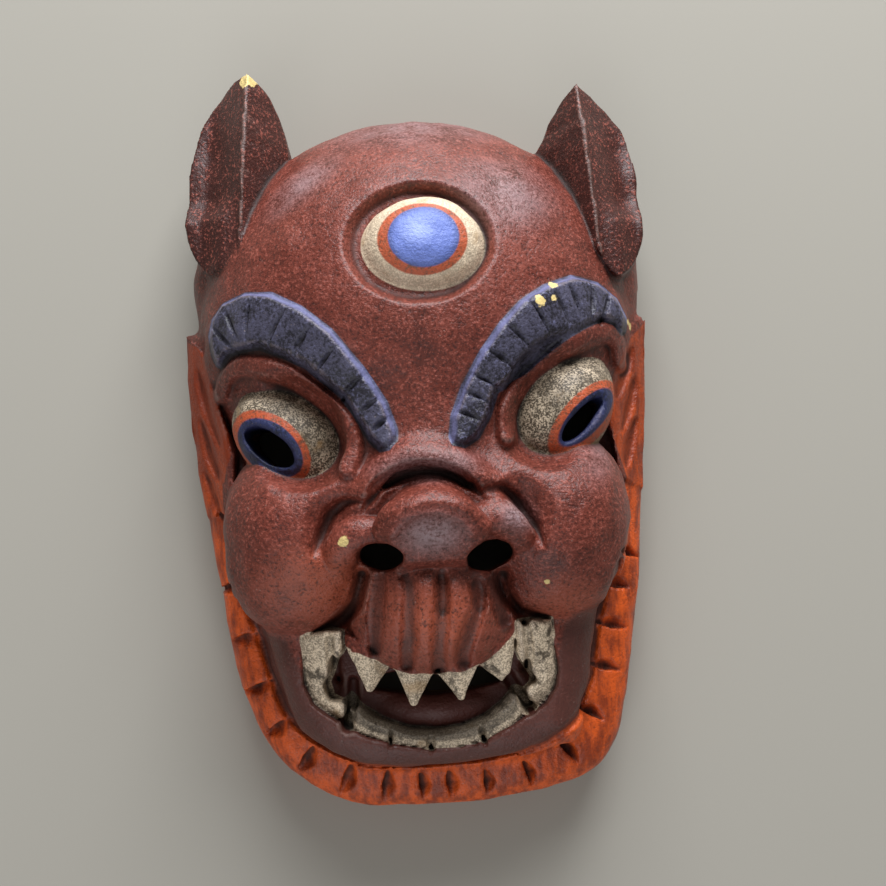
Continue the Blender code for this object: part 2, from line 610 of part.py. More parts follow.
def carved():
    """The whole mask as a block of distances, hollowed from behind and pierced."""
    mask = Block(GRID_LOW, GRID_HIGH, VOXEL)
    main_masses(mask)
    ears(mask)
    tufts(mask)
    third_eye(mask)
    brows(mask)
    eyes(mask)
    nose(mask)
    mouth(mask)
    scooped = Block(GRID_LOW, GRID_HIGH, VOXEL)
    main_masses(scooped, HOLLOW_SOFTNESS)
    hollow = np.maximum(scooped.distance + units(WALL), mask.distance + units(LEAST_WALL))
    mask.distance = -blend_of(-mask.distance, hollow, 1.0)
    for groove in MUZZLE_GROOVES:
        mask.furrow(*groove)
    for nick in MUZZLE_NICKS:
        mask.nick(nick, 3.4, 2.2)
    for x, y in ROW_NOTCHES:
        mask.nick(((x, y - 3.5), (x, y), (x, y + 3)), 1.4, 1.8)
    hair_border(mask)
    notch_and_gouge(mask)
    for name, eye in EYES.items():
        width = EYE_HOLE_WIDTH if name == "left" else 0.7 * EYE_HOLE_WIDTH
        mask.cut(bore(eye["hole"], units(EYE_HOLE_LENGTH), units(width), eye["hole_turn"]), 2.0)
    for x, y, turn in NOSTRILS:
        mask.cut(bore((x, y), units(NOSTRIL_LENGTH), units(NOSTRIL_WIDTH), turn), 1.0)
    mask.cut(bore((0, -88), units(MOUTH_SLOT_LENGTH), units(MOUTH_SLOT_WIDTH), 0, SLOT_TOP), 0.5)
    return mask


def notch_and_gouge(mask):
    """The repeated cuts: notches across the brows and gouges across the border of hair."""
    for path, count in zip((LEFT_BROW, RIGHT_BROW), BROW_NOTCHES):
        for start, end in brow_cuts(path, count):
            mask.furrow((start, end), 0.2, 1.2, 1.0)
    for x, y in GOUGES:
        mask.nick(gouge_line(x, y), GOUGE_HALF_WIDTH, GOUGE_DEPTH)


def sweep_crumbs(shell):
    """Keeps the one large piece of wood, without any crumb that a cut has set loose."""
    left = set(shell.verts)
    pieces = []
    while left:
        front = [left.pop()]
        piece = []
        while front:
            piece += front
            near = {edge.other_vert(vert) for vert in front for edge in vert.link_edges} & left
            left -= near
            front = list(near)
        pieces.append(piece)
    for piece in sorted(pieces, key=len)[:-1]:
        bmesh.ops.delete(shell, geom=piece, context="VERTS")


def surface_of(block, name):
    """The block's surface as a mesh in real metres, with its faces pointing out."""
    grid = openvdb.FloatGrid(FAR)
    grid.copyFromArray(block.distance)
    points, quads = grid.convertToQuads(0.0)
    points = points * block.step + block.low
    wood = points[points[:, 2] > 0]
    size, middle = np.ptp(wood, axis=0), (wood.min(axis=0) + wood.max(axis=0)) / 2
    points = (points - (*middle[:2], 0)) * REAL_SIZE / (*size[:2], wood[:, 2].max())
    mesh = bpy.data.meshes.new(name)
    mesh.from_pydata(points.tolist(), [], quads.tolist())
    shell = bmesh.new()
    shell.from_mesh(mesh)
    if shell.calc_volume(signed=True) < 0:
        bmesh.ops.reverse_faces(shell, faces=shell.faces[:])
    bmesh.ops.triangulate(shell, faces=shell.faces[:])
    sweep_crumbs(shell)
    shell.to_mesh(mesh)
    shell.free()
    return mesh


def wood_material():
    material = bpy.data.materials.new("painted_wood")
    material.use_nodes = True
    paint = material.node_tree.nodes["Principled BSDF"]
    paint.inputs["Base Color"].default_value = PAINT
    paint.inputs["Roughness"].default_value = PAINT_ROUGHNESS
    material.diffuse_color = PAINT
    return material


def simplified(mesh, collection):
    """The mesh with its flat areas in few large triangles, as the limit on triangles needs."""
    rough = bpy.data.objects.new("fine_surface", mesh)
    collection.objects.link(rough)
    decimate = rough.modifiers.new("fewer_triangles", "DECIMATE")
    decimate.ratio = MOST_TRIANGLES / len(mesh.polygons)
    bpy.context.view_layer.update()
    graph = bpy.context.evaluated_depsgraph_get()
    fewer = bpy.data.meshes.new_from_object(rough.evaluated_get(graph))
    bpy.data.objects.remove(rough)
    return fewer


def build():
    for obj in list(bpy.data.objects):
        bpy.data.objects.remove(obj)
    parts = bpy.data.collections.new("guardian_mask")
    cutters = bpy.data.collections.new("cutters")
    for collection in (parts, cutters):
        bpy.context.scene.collection.children.link(collection)

    mesh = simplified(surface_of(carved(), "mask"), parts)
    mesh.name = "mask"
    mask = bpy.data.objects.new("mask", mesh)
    mask.data.materials.append(wood_material())
    parts.objects.link(mask)

    bpy.ops.mesh.primitive_cube_add(size=1)
    bench = bpy.context.object
    bench.name = "bench_plane"
    bench.scale = (3 * MASK_WIDTH, 3 * MASK_HEIGHT, MASK_DEPTH)
    bench.location.z = -MASK_DEPTH / 2
    bench.hide_render = True
    bench.display_type = "WIRE"
    for home in list(bench.users_collection):
        home.objects.unlink(bench)
    cutters.objects.link(bench)
    flat = mask.modifiers.new("flat_rim", "BOOLEAN")
    flat.operation = "DIFFERENCE"
    flat.object = bench
    mask.data.shade_smooth()
    mask.data.set_sharp_from_angle(angle=np.radians(40))


build()
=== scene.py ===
"""The guardian mask as the photograph shows it: finer carving, old paint and soft daylight.

The wood is a grid of signed distances, negative inside, and each stroke adds to it or cuts into it.
The strokes are placed in carver's units: the mask is 270 tall, 173 wide and 96 deep, its flat rim
lies on Z = 0, the face looks along +Z and the ears point along +Y. The finished surface is fitted
to the box of the plain model. Its paint reads how near each point is to a brow, a tooth or an edge.
"""

from collections import namedtuple

import bmesh
import bpy
import numpy as np
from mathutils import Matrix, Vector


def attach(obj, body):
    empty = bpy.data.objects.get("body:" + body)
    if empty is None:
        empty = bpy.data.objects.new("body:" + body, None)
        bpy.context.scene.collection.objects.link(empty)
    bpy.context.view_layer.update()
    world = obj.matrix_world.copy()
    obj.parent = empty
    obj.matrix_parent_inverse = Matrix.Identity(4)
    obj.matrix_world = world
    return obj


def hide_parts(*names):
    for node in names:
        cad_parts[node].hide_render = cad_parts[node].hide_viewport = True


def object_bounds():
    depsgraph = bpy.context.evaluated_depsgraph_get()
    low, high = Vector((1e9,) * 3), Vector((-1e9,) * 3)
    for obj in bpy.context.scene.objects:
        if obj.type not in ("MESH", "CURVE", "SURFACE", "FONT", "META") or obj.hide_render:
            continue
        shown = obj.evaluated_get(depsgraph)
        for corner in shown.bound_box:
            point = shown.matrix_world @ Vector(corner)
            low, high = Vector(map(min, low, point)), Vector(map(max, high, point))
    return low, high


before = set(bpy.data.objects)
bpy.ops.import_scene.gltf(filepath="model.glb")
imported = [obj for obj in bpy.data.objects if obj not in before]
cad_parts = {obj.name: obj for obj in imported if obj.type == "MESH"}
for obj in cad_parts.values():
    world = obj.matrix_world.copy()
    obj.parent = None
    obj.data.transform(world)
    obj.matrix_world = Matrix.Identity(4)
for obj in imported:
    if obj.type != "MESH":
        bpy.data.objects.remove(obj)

import openvdb
from mathutils import Matrix, Vector

PLAIN_BOX = [list(corner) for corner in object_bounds()]

# The carver's units, and the real lengths that the plain model gives
UNITS = np.array([173.0, 270.0, 96.0])
LOW, HIGH = (np.array(corner) for corner in PLAIN_BOX)
MEAN_UNIT = float(((HIGH - LOW) / UNITS).mean())
WALL = 0.011
LEAST_WALL = 0.007
EYE_HOLE_LENGTH = 0.020
EYE_HOLE_WIDTH = 0.0095
NOSTRIL_LENGTH = 0.0155
NOSTRIL_WIDTH = 0.0092
MOUTH_SLOT_LENGTH = 0.050
MOUTH_SLOT_WIDTH = 0.009

# Fineness of the work
VOXEL = 0.75
MOST_TRIANGLES = 190000
FAR = 60.0
PATH_STEPS = 6

Shape = namedtuple("Shape", "low high distance")


def units(metres):
    """A real length in carver's units."""
    return metres / MEAN_UNIT


def blend_of(a, b, radius):
    """The smaller of two distances, with the corner between them filled to about this radius."""
    if radius <= 0:
        return np.minimum(a, b)
    share = np.clip(0.5 + 0.5 * (b - a) / radius, 0, 1)
    return b + (a - b) * share - radius * share * (1 - share)


def curve_through(points, steps=PATH_STEPS):
    """A smooth path through a few points, a Catmull-Rom spline."""
    points = np.array(points, float)
    ends = np.vstack([2 * points[0] - points[1], points, 2 * points[-1] - points[-2]])
    t = np.linspace(0, 1, steps, endpoint=False)[:, None]
    path = []
    for p0, p1, p2, p3 in zip(ends, ends[1:], ends[2:], ends[3:]):
        bend = 2 * p0 - 5 * p1 + 4 * p2 - p3
        twist = 3 * p1 - p0 - 3 * p2 + p3
        path.append(p1 + 0.5 * ((p2 - p0) * t + bend * t**2 + twist * t**3))
    return np.vstack(path + [points[-1:]])


def soft_step(value):
    """0 below 0, 1 above 1 and a smooth rise between."""
    value = np.clip(value, 0, 1)
    return value * value * (3 - 2 * value)


def ellipsoid(centre, radii, turn=0.0):
    """An egg shape, turned about Z by this many degrees."""
    centre, radii = np.array(centre, float), np.array(radii, float)
    cos, sin = np.cos(np.radians(turn)), np.sin(np.radians(turn))
    reach = np.array([max(radii[:2]), max(radii[:2]), radii[2]])

    def distance(x, y, z):
        x, y, z = x - centre[0], y - centre[1], z - centre[2]
        u, v, w = (x * cos + y * sin) / radii[0], (y * cos - x * sin) / radii[1], z / radii[2]
        size = np.sqrt(u * u + v * v + w * w)
        slope = np.sqrt((u / radii[0]) ** 2 + (v / radii[1]) ** 2 + (w / radii[2]) ** 2)
        return np.where(size < 1e-3, -radii.min(), size * (size - 1) / np.maximum(slope, 1e-6))

    return Shape(centre - reach, centre + reach, distance)


def tube(points, radii):
    """A round bar along a smooth path, with a radius for each of its points."""
    path = curve_through(points)
    radii = np.broadcast_to(radii, len(points))
    sizes = np.interp(np.linspace(0, len(points) - 1, len(path)), range(len(points)), radii)
    reach = sizes.max()

    def distance(x, y, z):
        nearest = None
        for start, end, first, last in zip(path, path[1:], sizes, sizes[1:]):
            run = end - start
            dx, dy, dz = x - start[0], y - start[1], z - start[2]
            along = np.clip((dx * run[0] + dy * run[1] + dz * run[2]) / (run @ run), 0, 1)
            gap = (dx - along * run[0]) ** 2 + (dy - along * run[1]) ** 2
            gap = np.sqrt(gap + (dz - along * run[2]) ** 2) - (first + along * (last - first))
            nearest = gap if nearest is None else np.minimum(nearest, gap)
        return nearest

    return Shape(path.min(axis=0) - reach, path.max(axis=0) + reach, distance)


def outline_distance(outline, x, y):
    """Signed distance in the plane to a closed outline, negative inside."""
    best, inside = None, False
    for a, b in zip(outline, np.roll(outline, -1, axis=0)):
        run = b - a
        along = np.clip(((x - a[0]) * run[0] + (y - a[1]) * run[1]) / (run @ run), 0, 1)
        gap = (x - a[0] - along * run[0]) ** 2 + (y - a[1] - along * run[1]) ** 2
        best = gap if best is None else np.minimum(best, gap)
        if a[1] != b[1]:
            crosses = ((a[1] > y) != (b[1] > y)) & (x < a[0] + run[0] * (y - a[1]) / run[1])
            inside = inside ^ crosses
    return np.sqrt(best) * np.where(inside, -1, 1)


def path_distance(path, x, y):
    """Distance in the plane to a path, and how far along it the nearest place is, from 0 to 1."""
    share = np.linspace(0, 1, len(path))
    best, place = None, None
    for start, end, s0, s1 in zip(path, path[1:], share, share[1:]):
        run = end - start
        along = np.clip(((x - start[0]) * run[0] + (y - start[1]) * run[1]) / (run @ run), 0, 1)
        gap = np.hypot(x - start[0] - along * run[0], y - start[1] - along * run[1])
        if best is None:
            best, place = gap, s0 + along * (s1 - s0)
        else:
            place = np.where(gap < best, s0 + along * (s1 - s0), place)
            best = np.minimum(best, gap)
    return best, place


def slab(outline, inset, top, rounding):
    """A board of this outline, from below the rim up to top, its upper edge rounded over."""
    outline = curve_through(outline)
    low, high = outline.min(axis=0), outline.max(axis=0)

    def distance(x, y, z):
        side = outline_distance(outline, x, y) + inset + rounding
        above = z - top + rounding
        corner = np.sqrt(np.maximum(side, 0) ** 2 + np.maximum(above, 0) ** 2)
        return corner + np.minimum(np.maximum(side, above), 0) - rounding

    return Shape((*low, BELOW), (*high, top), distance)


def block_under(outline, bottom, top, steepness=0.7):
    """A block of this outline whose upper side is a surface, top(x, y, distance inside the outline)."""
    outline = np.array(outline, float)
    low, high = outline.min(axis=0), outline.max(axis=0)

    def distance(x, y, z):
        side = outline_distance(outline, x, y)
        return np.maximum(np.maximum(side, (z - top(x, y, -side)) * steepness), bottom - z)

    return Shape((*low, bottom), (*high, ABOVE - REACH), distance)


def well(outline, floor, rounding):
    """The space above a floor, within an outline: what a gouge clears out from the front."""
    outline = np.array(outline, float)
    low, high = outline.min(axis=0), outline.max(axis=0)

    def distance(x, y, z):
        side = outline_distance(outline, x, y) + rounding
        below = floor - z + rounding
        corner = np.sqrt(np.maximum(side, 0) ** 2 + np.maximum(below, 0) ** 2)
        return corner + np.minimum(np.maximum(side, below), 0) - rounding

    return Shape((*low, floor), (*high, ABOVE), distance)


def chip_off(point, facing, centre, radius):
    """The space before a flat cut through a point, as far as an upright round bar reaches."""
    facing = np.array(facing, float) / np.linalg.norm(facing)

    def distance(x, y, z):
        ahead = (x - point[0]) * facing[0] + (y - point[1]) * facing[1] + (z - point[2]) * facing[2]
        return np.maximum(-ahead, np.hypot(x - centre[0], y - centre[1]) - radius)

    low = (centre[0] - radius, centre[1] - radius, point[2] - radius)
    return Shape(low, (centre[0] + radius, centre[1] + radius, ABOVE), distance)


def bore(centre, length, width, turn, top=None):
    """An oval hole along Z, open at the back and as high as top. Its long side is turned by turn degrees."""
    top = ABOVE if top is None else top
    cos, sin = np.cos(np.radians(turn)), np.sin(np.radians(turn))
    half = np.array([length, width]) / 2

    def distance(x, y, z):
        x, y = x - centre[0], y - centre[1]
        u, v = (x * cos + y * sin) / half[0], (y * cos - x * sin) / half[1]
        size = np.sqrt(u * u + v * v)
        slope = np.sqrt((u / half[0]) ** 2 + (v / half[1]) ** 2)
        return np.maximum(size * (size - 1) / np.maximum(slope, 1e-6), z - top)

    reach = max(half)
    return Shape(
        (centre[0] - reach, centre[1] - reach, BELOW),
        (centre[0] + reach, centre[1] + reach, top),
        distance,
    )


class Block:
    """Signed distances on a grid. Each stroke works only in the part of the grid that it can reach."""

    def __init__(self, low, high, step):
        self.low, self.step = np.array(low, float), step
        counts = np.ceil((np.array(high) - self.low) / step).astype(int) + 1
        self.distance = np.full(counts, FAR, np.float32)
        self.axes = [start + step * np.arange(n) for start, n in zip(self.low, counts)]

    def window(self, low, high, margin):
        spans = []
        for axis, start, end in zip(self.axes, low, high):
            spans.append(slice(*np.searchsorted(axis, (start - margin, end + margin))))
        x, y, z = (axis[span].astype(np.float32) for axis, span in zip(self.axes, spans))
        return tuple(spans), x[:, None, None], y[None, :, None], z[None, None, :]

    def add(self, shape, blend=0.0):
        spans, x, y, z = self.window(shape.low, shape.high, REACH + blend)
        self.distance[spans] = blend_of(self.distance[spans], shape.distance(x, y, z), blend)

    def cut(self, shape, blend=0.0):
        spans, x, y, z = self.window(shape.low, shape.high, REACH + blend)
        self.distance[spans] = -blend_of(-self.distance[spans], shape.distance(x, y, z), blend)

    def over(self, corners, margin):
        """The part of the grid above and below these places, with its X and Y."""
        corners = np.array(corners, float)[:, :2]
        low, high = corners.min(axis=0) - margin, corners.max(axis=0) + margin
        spans, x, y, _ = self.window((*low, BELOW), (*high, ABOVE), 0)
        return spans, x, y

    def furrow(self, points, half_width, depth, edge):
        """Sinks a smooth line through these points, or raises it where the depth is negative."""
        path = curve_through(points)
        spans, x, y = self.over(path, half_width + edge)
        gap, _ = path_distance(path, x, y)
        self.distance[spans] += depth * soft_step((half_width + edge - gap) / edge)

    def nick(self, points, half_width, depth):
        """Sinks a short cut that is widest and deepest in its middle and runs out at both ends."""
        path = curve_through(points)
        spans, x, y = self.over(path, half_width)
        gap, place = path_distance(path, x, y)
        full = half_width * np.sqrt(np.maximum(4 * place * (1 - place), 1e-6))
        self.distance[spans] += depth * soft_step(1.2 - gap / full) * soft_step(full / half_width)

    def area(self, outline, height, edge):
        """Raises the area inside an outline, or sinks it, with a border as wide as edge."""
        outline = np.array(outline, float)
        spans, x, y = self.over(outline, 0)
        self.distance[spans] -= height * soft_step(-outline_distance(outline, x, y) / edge)

    def disc(self, centre, radii, height, edge):
        """Raises or sinks an oval area, whose border slopes over the width of edge."""
        corners = np.array([np.subtract(centre, radii), np.add(centre, radii)])
        spans, x, y = self.over(corners, edge)
        size = np.hypot((x - centre[0]) / radii[0], (y - centre[1]) / radii[1])
        self.distance[spans] -= height * soft_step((1 - size) * min(radii) / edge)


# How far the grid and a stroke reach, and how smooth the hollow is, in carver's units
BELOW, ABOVE = -5.0, 112.0
REACH = 16.0
HOLLOW_SOFTNESS = 14.0
GRID_LOW = (-94.0, -143.0, BELOW)
GRID_HIGH = (94.0, 142.0, ABOVE)

# The outline of the block seen from the front: tuft, jaw, chin, jaw and tuft
LOWER_OUTLINE = (
    (-85, 44), (-83, 4), (-77, -52), (-70, -92), (-58, -117), (-37, -132), (-15, -136),
    (22, -135), (52, -129), (64, -118), (70, -98), (78, -52), (83, 4), (86, 40),
)
BORDER_TOP, BORDER_ROUND = 29.0, 12.0
JAW_INSET, JAW_TOP, JAW_ROUND = 17.0, 52.0, 15.0


def main_masses(block, soft=0):
    """The big forms that the carver roughs out. Soft rounds the creases between them by that much more."""
    block.add(ellipsoid((1, 40, 0), (84, 82, 82)))
    block.add(slab(LOWER_OUTLINE, 0, BORDER_TOP, BORDER_ROUND), 3 + soft)
    jaw = [(x, min(y, -4)) for x, y in LOWER_OUTLINE[1:-1]]
    block.add(slab(jaw, JAW_INSET, JAW_TOP, JAW_ROUND), 8 + soft)
    for side, x, outer in ((-1, -43, 27), (1, 44, 28)):
        block.add(ellipsoid((x, -34, 40), (outer, 33, 36), side * -12), 8 + soft)
        block.add(ellipsoid((side * 24, -22, 41), (22, 26, 34)), 14 + soft)
        block.add(ellipsoid((side * 44.5, -44, 44), (25, 25, 27)), 2 + soft)
    block.add(ellipsoid((1, -58, 40), (32, 32, 40)), 4 + soft)
    block.add(ellipsoid((2, -6, 43), (20, 30, 34)), 14 + soft)
    block.add(ellipsoid((2, -29, 47), (30, 24, 31)), 6 + soft)


LEFT_EAR = ((-54.6, 135), (-62, 133), (-68, 128), (-73.7, 118.4), (-77, 108), (-78.7, 97),
            (-79, 88), (-79, 80), (-77.4, 71), (-72, 62), (-63, 64), (-57, 72), (-50, 88),
            (-43, 104), (-43.5, 117), (-46, 125), (-50, 131.5))
RIGHT_EAR = ((65, 124), (72, 119), (77, 114.5), (81, 109), (83.5, 102), (85, 90), (85, 75),
             (84, 64), (79, 54), (73, 51), (67, 59), (61, 70), (55, 81), (49.5, 93), (49, 101),
             (53, 110), (58, 118))
EAR_ROOTS = ((-59, 72), (68, 62))
EAR_RIDGE, EAR_TIP, EAR_UNDERCUT = 50.0, 41.0, 20.0
EAR_BACK_SLOPE, EAR_SCOOP, EAR_FLOOR = 1.6, 17.0, 6.0
EAR_LOBES = (((-73, 61, 12), (9, 14, 16)), ((76.5, 55, 12), (9, 20, 17)))


def ears(block):
    """Two leaf-shaped ears on the sides of the skull, each with a ridge and a scooped outer side."""
    for side, corners, root, lobe in zip((-1, 1), (LEFT_EAR, RIGHT_EAR), EAR_ROOTS, EAR_LOBES):
        block.add(ear(np.array(corners), np.array(root), side), 1.5)
        block.add(ellipsoid(*lobe), 4)


def ear(corners, root, side):
    """A leaf from its tip round to its tip. Its top is a ridge, a plane behind it and a scoop before it."""
    outline = curve_through(np.vstack([corners, corners[:1]]))[:-1]
    tip = corners[0]

    def top(x, y, inside):
        share = (y - root[1]) / (tip[1] - root[1])
        ridge_x = root[0] + share * (tip[0] - root[0])
        ridge_z = EAR_RIDGE - (EAR_RIDGE - EAR_TIP) * np.clip(share, 0, 1) ** 2
        across = (x - ridge_x) * side
        back = ridge_z + np.minimum(across + 1.5, 0) * EAR_BACK_SLOPE
        floor = EAR_FLOOR * soft_step((0.32 - share) * 5)
        scoop = ridge_z - EAR_SCOOP * soft_step(across / 20 + 0.2) + floor * soft_step(across / 9)
        return np.where(across > 0, scoop, back)

    leaf = block_under(outline, BELOW, top)

    def distance(x, y, z):
        share = np.clip((y - root[1]) / (tip[1] - root[1]), 0, 1.2)
        return np.maximum(leaf.distance(x, y, z), EAR_UNDERCUT * share - z)

    return Shape(leaf.low, (*leaf.high[:2], EAR_RIDGE), distance)


THIRD_EYE = ((5.5, 59, 70), (20.5, 17.5, 12.5))


def third_eye(block):
    """The eye on the forehead: a sunk oval ring with a ball in it."""
    block.disc((4.5, 60.5), (26, 22.5), -5.0, 4.0)
    block.add(ellipsoid(*THIRD_EYE), 1.0)


LEFT_BROW = ((-9, -5), (-13, 3), (-20, 13), (-30, 24), (-42, 34), (-54, 40), (-63, 38), (-67, 31))
RIGHT_BROW = ((14, -4), (18, 4), (24, 14), (33, 25), (44, 34), (55, 39), (64, 39), (70, 33))
LEFT_BROW_OUTLINE = (
    (-72.3, 38.2), (-70.6, 44.3), (-66, 49.1), (-56.5, 50.6), (-45.7, 48.4), (-35.2, 41.7),
    (-25.5, 33), (-16.3, 20.4), (-8.9, 7.9), (-6.1, -1.3), (-6.4, -5.2), (-8.9, -8.3), (-12.8, -8.4),
    (-16, -5.1), (-20.8, 3.9), (-24.6, 10.3), (-30.5, 16.4), (-36.2, 21.4), (-43.4, 25.6),
    (-51.7, 29.6), (-58.5, 29.8), (-63.6, 29.4), (-68.1, 26.1), (-70.6, 27.5), (-72.1, 32.1),
)
RIGHT_BROW_OUTLINE = (
    (10, -5), (11, 2), (15, 12), (22, 23), (29, 32), (36, 39), (45, 45), (55, 49), (66, 48),
    (73, 43), (77, 36), (76, 31), (73, 29), (70, 32), (65, 33), (57, 29), (47, 23), (38, 16), (27, 9),
    (24, 1), (20, -6), (15, -9), (11, -8),
)
BROW_HEIGHTS = (66, 67, 65, 61, 55, 47, 40, 34)
BROW_RADII = (5, 6, 7.5, 8.5, 9, 9.5, 9.5, 7)
BROW_LIFT, BROW_BEVEL = 4.0, 3.0
BROW_NOTCHES = (9, 10)


def brows(block):
    """Two thick brows, from the root of the nose up and over the eyes."""
    for path, outline in ((LEFT_BROW, LEFT_BROW_OUTLINE), (RIGHT_BROW, RIGHT_BROW_OUTLINE)):
        lift = [(x, y, z) for (x, y), z in zip(path, BROW_HEIGHTS)]
        block.add(tube(lift, BROW_RADII), 5)
        block.area(outline, BROW_LIFT, BROW_BEVEL)


def brow_cuts(path, count):
    """The two ends of each notch across a brow."""
    line = curve_through(path)
    ends = []
    for place in np.linspace(0.10, 0.92, count):
        at = place * (len(line) - 1)
        run = line[min(int(at) + 1, len(line) - 1)] - line[int(at) - 1]
        across = np.array([-run[1], run[0]]) / np.hypot(*run)
        half = 4.5 + 5.5 * place
        ends.append((line[int(at)] - across * half, line[int(at)] + across * half))
    return ends


EYES = {
    "left": {"centre": (-43.5, -0.5), "turn": -38, "hole": (-50.1, -3.4), "hole_turn": -38},
    "right": {"centre": (49, 3), "turn": 48, "hole": (55.5, -0.8), "hole_turn": 45},
}
EYE_BALL, EYE_BALL_Z = (23.0, 17.0, 20.0), 47.0
LIDS = (
    ((-68.7, 18.4), (-66.6, 22.2), (-62.1, 24.8), (-57.2, 25.1), (-47, 22.1), (-39.4, 17.8),
     (-32.7, 12.4), (-26.9, 6.9), (-22.9, 0.2), (-21.7, -6.5), (-23.5, -12.8)),
    ((29.6, -5.1), (30.5, 3.3), (35.7, 10.8), (43.9, 17.4), (52.2, 23.6), (61, 28.3), (67.8, 29.8),
     (72.1, 26.5), (73.3, 20.8)),
)
LID_HALF_WIDTH, LID_HEIGHT, LID_SLOPE = 1.6, 3.0, 3.0


def eyes(block):
    """Bulging eyeballs in deep sockets under the brows, each with a lid above it."""
    for eye, lid in zip(EYES.values(), LIDS):
        x, y = eye["centre"]
        block.cut(ellipsoid((x, y + 3, 72), (25, 19.5, 18), eye["turn"]), 3)
        block.furrow(lid, LID_HALF_WIDTH, -LID_HEIGHT, LID_SLOPE)
        block.add(ellipsoid((x, y, EYE_BALL_Z), EYE_BALL, eye["turn"]), 0.8)


ARCH = ((-20, -27, 70), (-16, -20, 75), (-9.8, -13.8, 77), (-4.9, -11.5, 77.5), (1.7, -11, 78),
        (8.2, -12.2, 77.5), (14.6, -16, 77), (21, -21.5, 75), (25, -28, 70))
ARCH_GROOVE = ((-19.5, -28), (-16.7, -23.7), (-13, -19.2), (-4.2, -15.6), (2.5, -15), (10, -16.9),
               (16.4, -21.1), (20.5, -26))
WING_GROOVES = (
    ((-37, -42), (-34, -35), (-31, -29), (-28, -25.7), (-24.3, -24.1), (-18, -24)),
    ((19, -24), (22, -22.9), (26, -22.9), (29.5, -25.4), (33, -30), (37.5, -37), (39, -44)),
)
WING_HOLLOWS = ((-27, -33), (31, -32))
WINGS = (
    (((-14, -34.5, 75), (-21.5, -35, 74), (-27, -39, 71), (-29.5, -46, 65)), (5, 6.3, 6.5, 4.5)),
    (((19, -32, 76), (25.5, -32.5, 75), (30.5, -38, 71), (33.5, -46, 66)), (5.5, 6.5, 6, 3)),
)
BULB = ((2.6, -35.5, 73), (17.4, 16.8, 23))
BULB_BROW = ((-12, -34, 83), (-8, -29.5, 87), (-0.8, -27.3, 89), (5, -27.3, 89), (11.5, -29.5, 87.5),
             (17, -35, 83))
BULB_RIDGE, BULB_FACING = (2.6, -26.5, 94.0), (0.06, -0.47, 0.88)
BULB_FOOT, FOOT_FACING = (2.6, -45.5, 82.0), (0.0, -1.0, 0.35)
NOSTRILS = ((-14.4, -42.6, -9), (21.0, -44.3, 13))


def nose(block):
    """The snout: a folded arch over a broad bulb with a flat front, and a wing on each side."""
    for x, y in WING_HOLLOWS:
        block.disc((x, y), (14, 15), -3.6, 9.0)
    block.add(tube(ARCH, 5.0), 6)
    for wing in WINGS:
        block.add(tube(*wing), 1.2)
    block.nick(ARCH_GROOVE, 3.0, 3.4)
    for groove in WING_GROOVES:
        block.nick(groove, 2.6, 2.6)
    bulb = Block(GRID_LOW, GRID_HIGH, block.step)
    bulb.add(ellipsoid(*BULB))
    bulb.add(tube(BULB_BROW, 4.4), 4)
    bulb.cut(chip_off(BULB_RIDGE, BULB_FACING, BULB[0], 26), 0.8)
    bulb.cut(chip_off(BULB_FOOT, FOOT_FACING, BULB[0], 26), 0.8)
    block.distance = blend_of(block.distance, bulb.distance, 1.0)
    for fold in MUZZLE_SIDES:
        block.furrow(fold, 0.5, 4.0, 3.2)


MUZZLE_SIDES = (
    ((-21.5, -49), (-22.5, -53), (-25, -58.5), (-30, -63.5), (-38, -69)),
    ((25, -52), (25.5, -56), (28, -61), (32, -65.5), (39, -69.5)),
)
# The grooves between the flutes of the lip
MUZZLE_GROOVES = (
    ((-14.7, -48), (-17, -58), (-18.1, -68), (-19, -76)),
    ((-7.1, -48), (-5.4, -53), (-6.2, -65), (-7.7, -74), (-8.5, -81)),
    ((4.6, -49), (4.2, -60.6), (2.6, -73), (2, -83)),
    ((16.2, -51), (16.5, -59), (11.1, -73.5), (10.2, -82)),
    ((21.9, -52), (23.3, -60), (25.1, -69)),
)

MUZZLE_NICKS = (((4.6, -47), (4.9, -55), (4.3, -64)), ((15.0, -52), (16.6, -57), (16.6, -64)))

TUFT_BACKS = {
    -1: ((-85, 43), (-78, 36), (-74, 24), (-70, 10), (-66, -4), (-68, -24), (-80, -26), (-84, 6)),
    1: ((87, 39), (80, 31), (75, 24), (70, 14), (67, 3), (71, -20), (81, -25), (84, 6)),
}
TUFT_EDGE, TUFT_SLOPE, TUFT_TOP = 22.0, 1.3, 39.0


def tufts(block):
    """A flame of hair on each side, from the border up beside the eye, rising toward its inner edge."""
    for side, corners in TUFT_BACKS.items():

        def top(x, y, inside):
            inward = 85.0 - 0.07 * (40 - y) - x * side
            return np.minimum(TUFT_EDGE + TUFT_SLOPE * inward, TUFT_TOP)

        block.add(block_under(corners, BELOW, top, 0.6), 1.0)


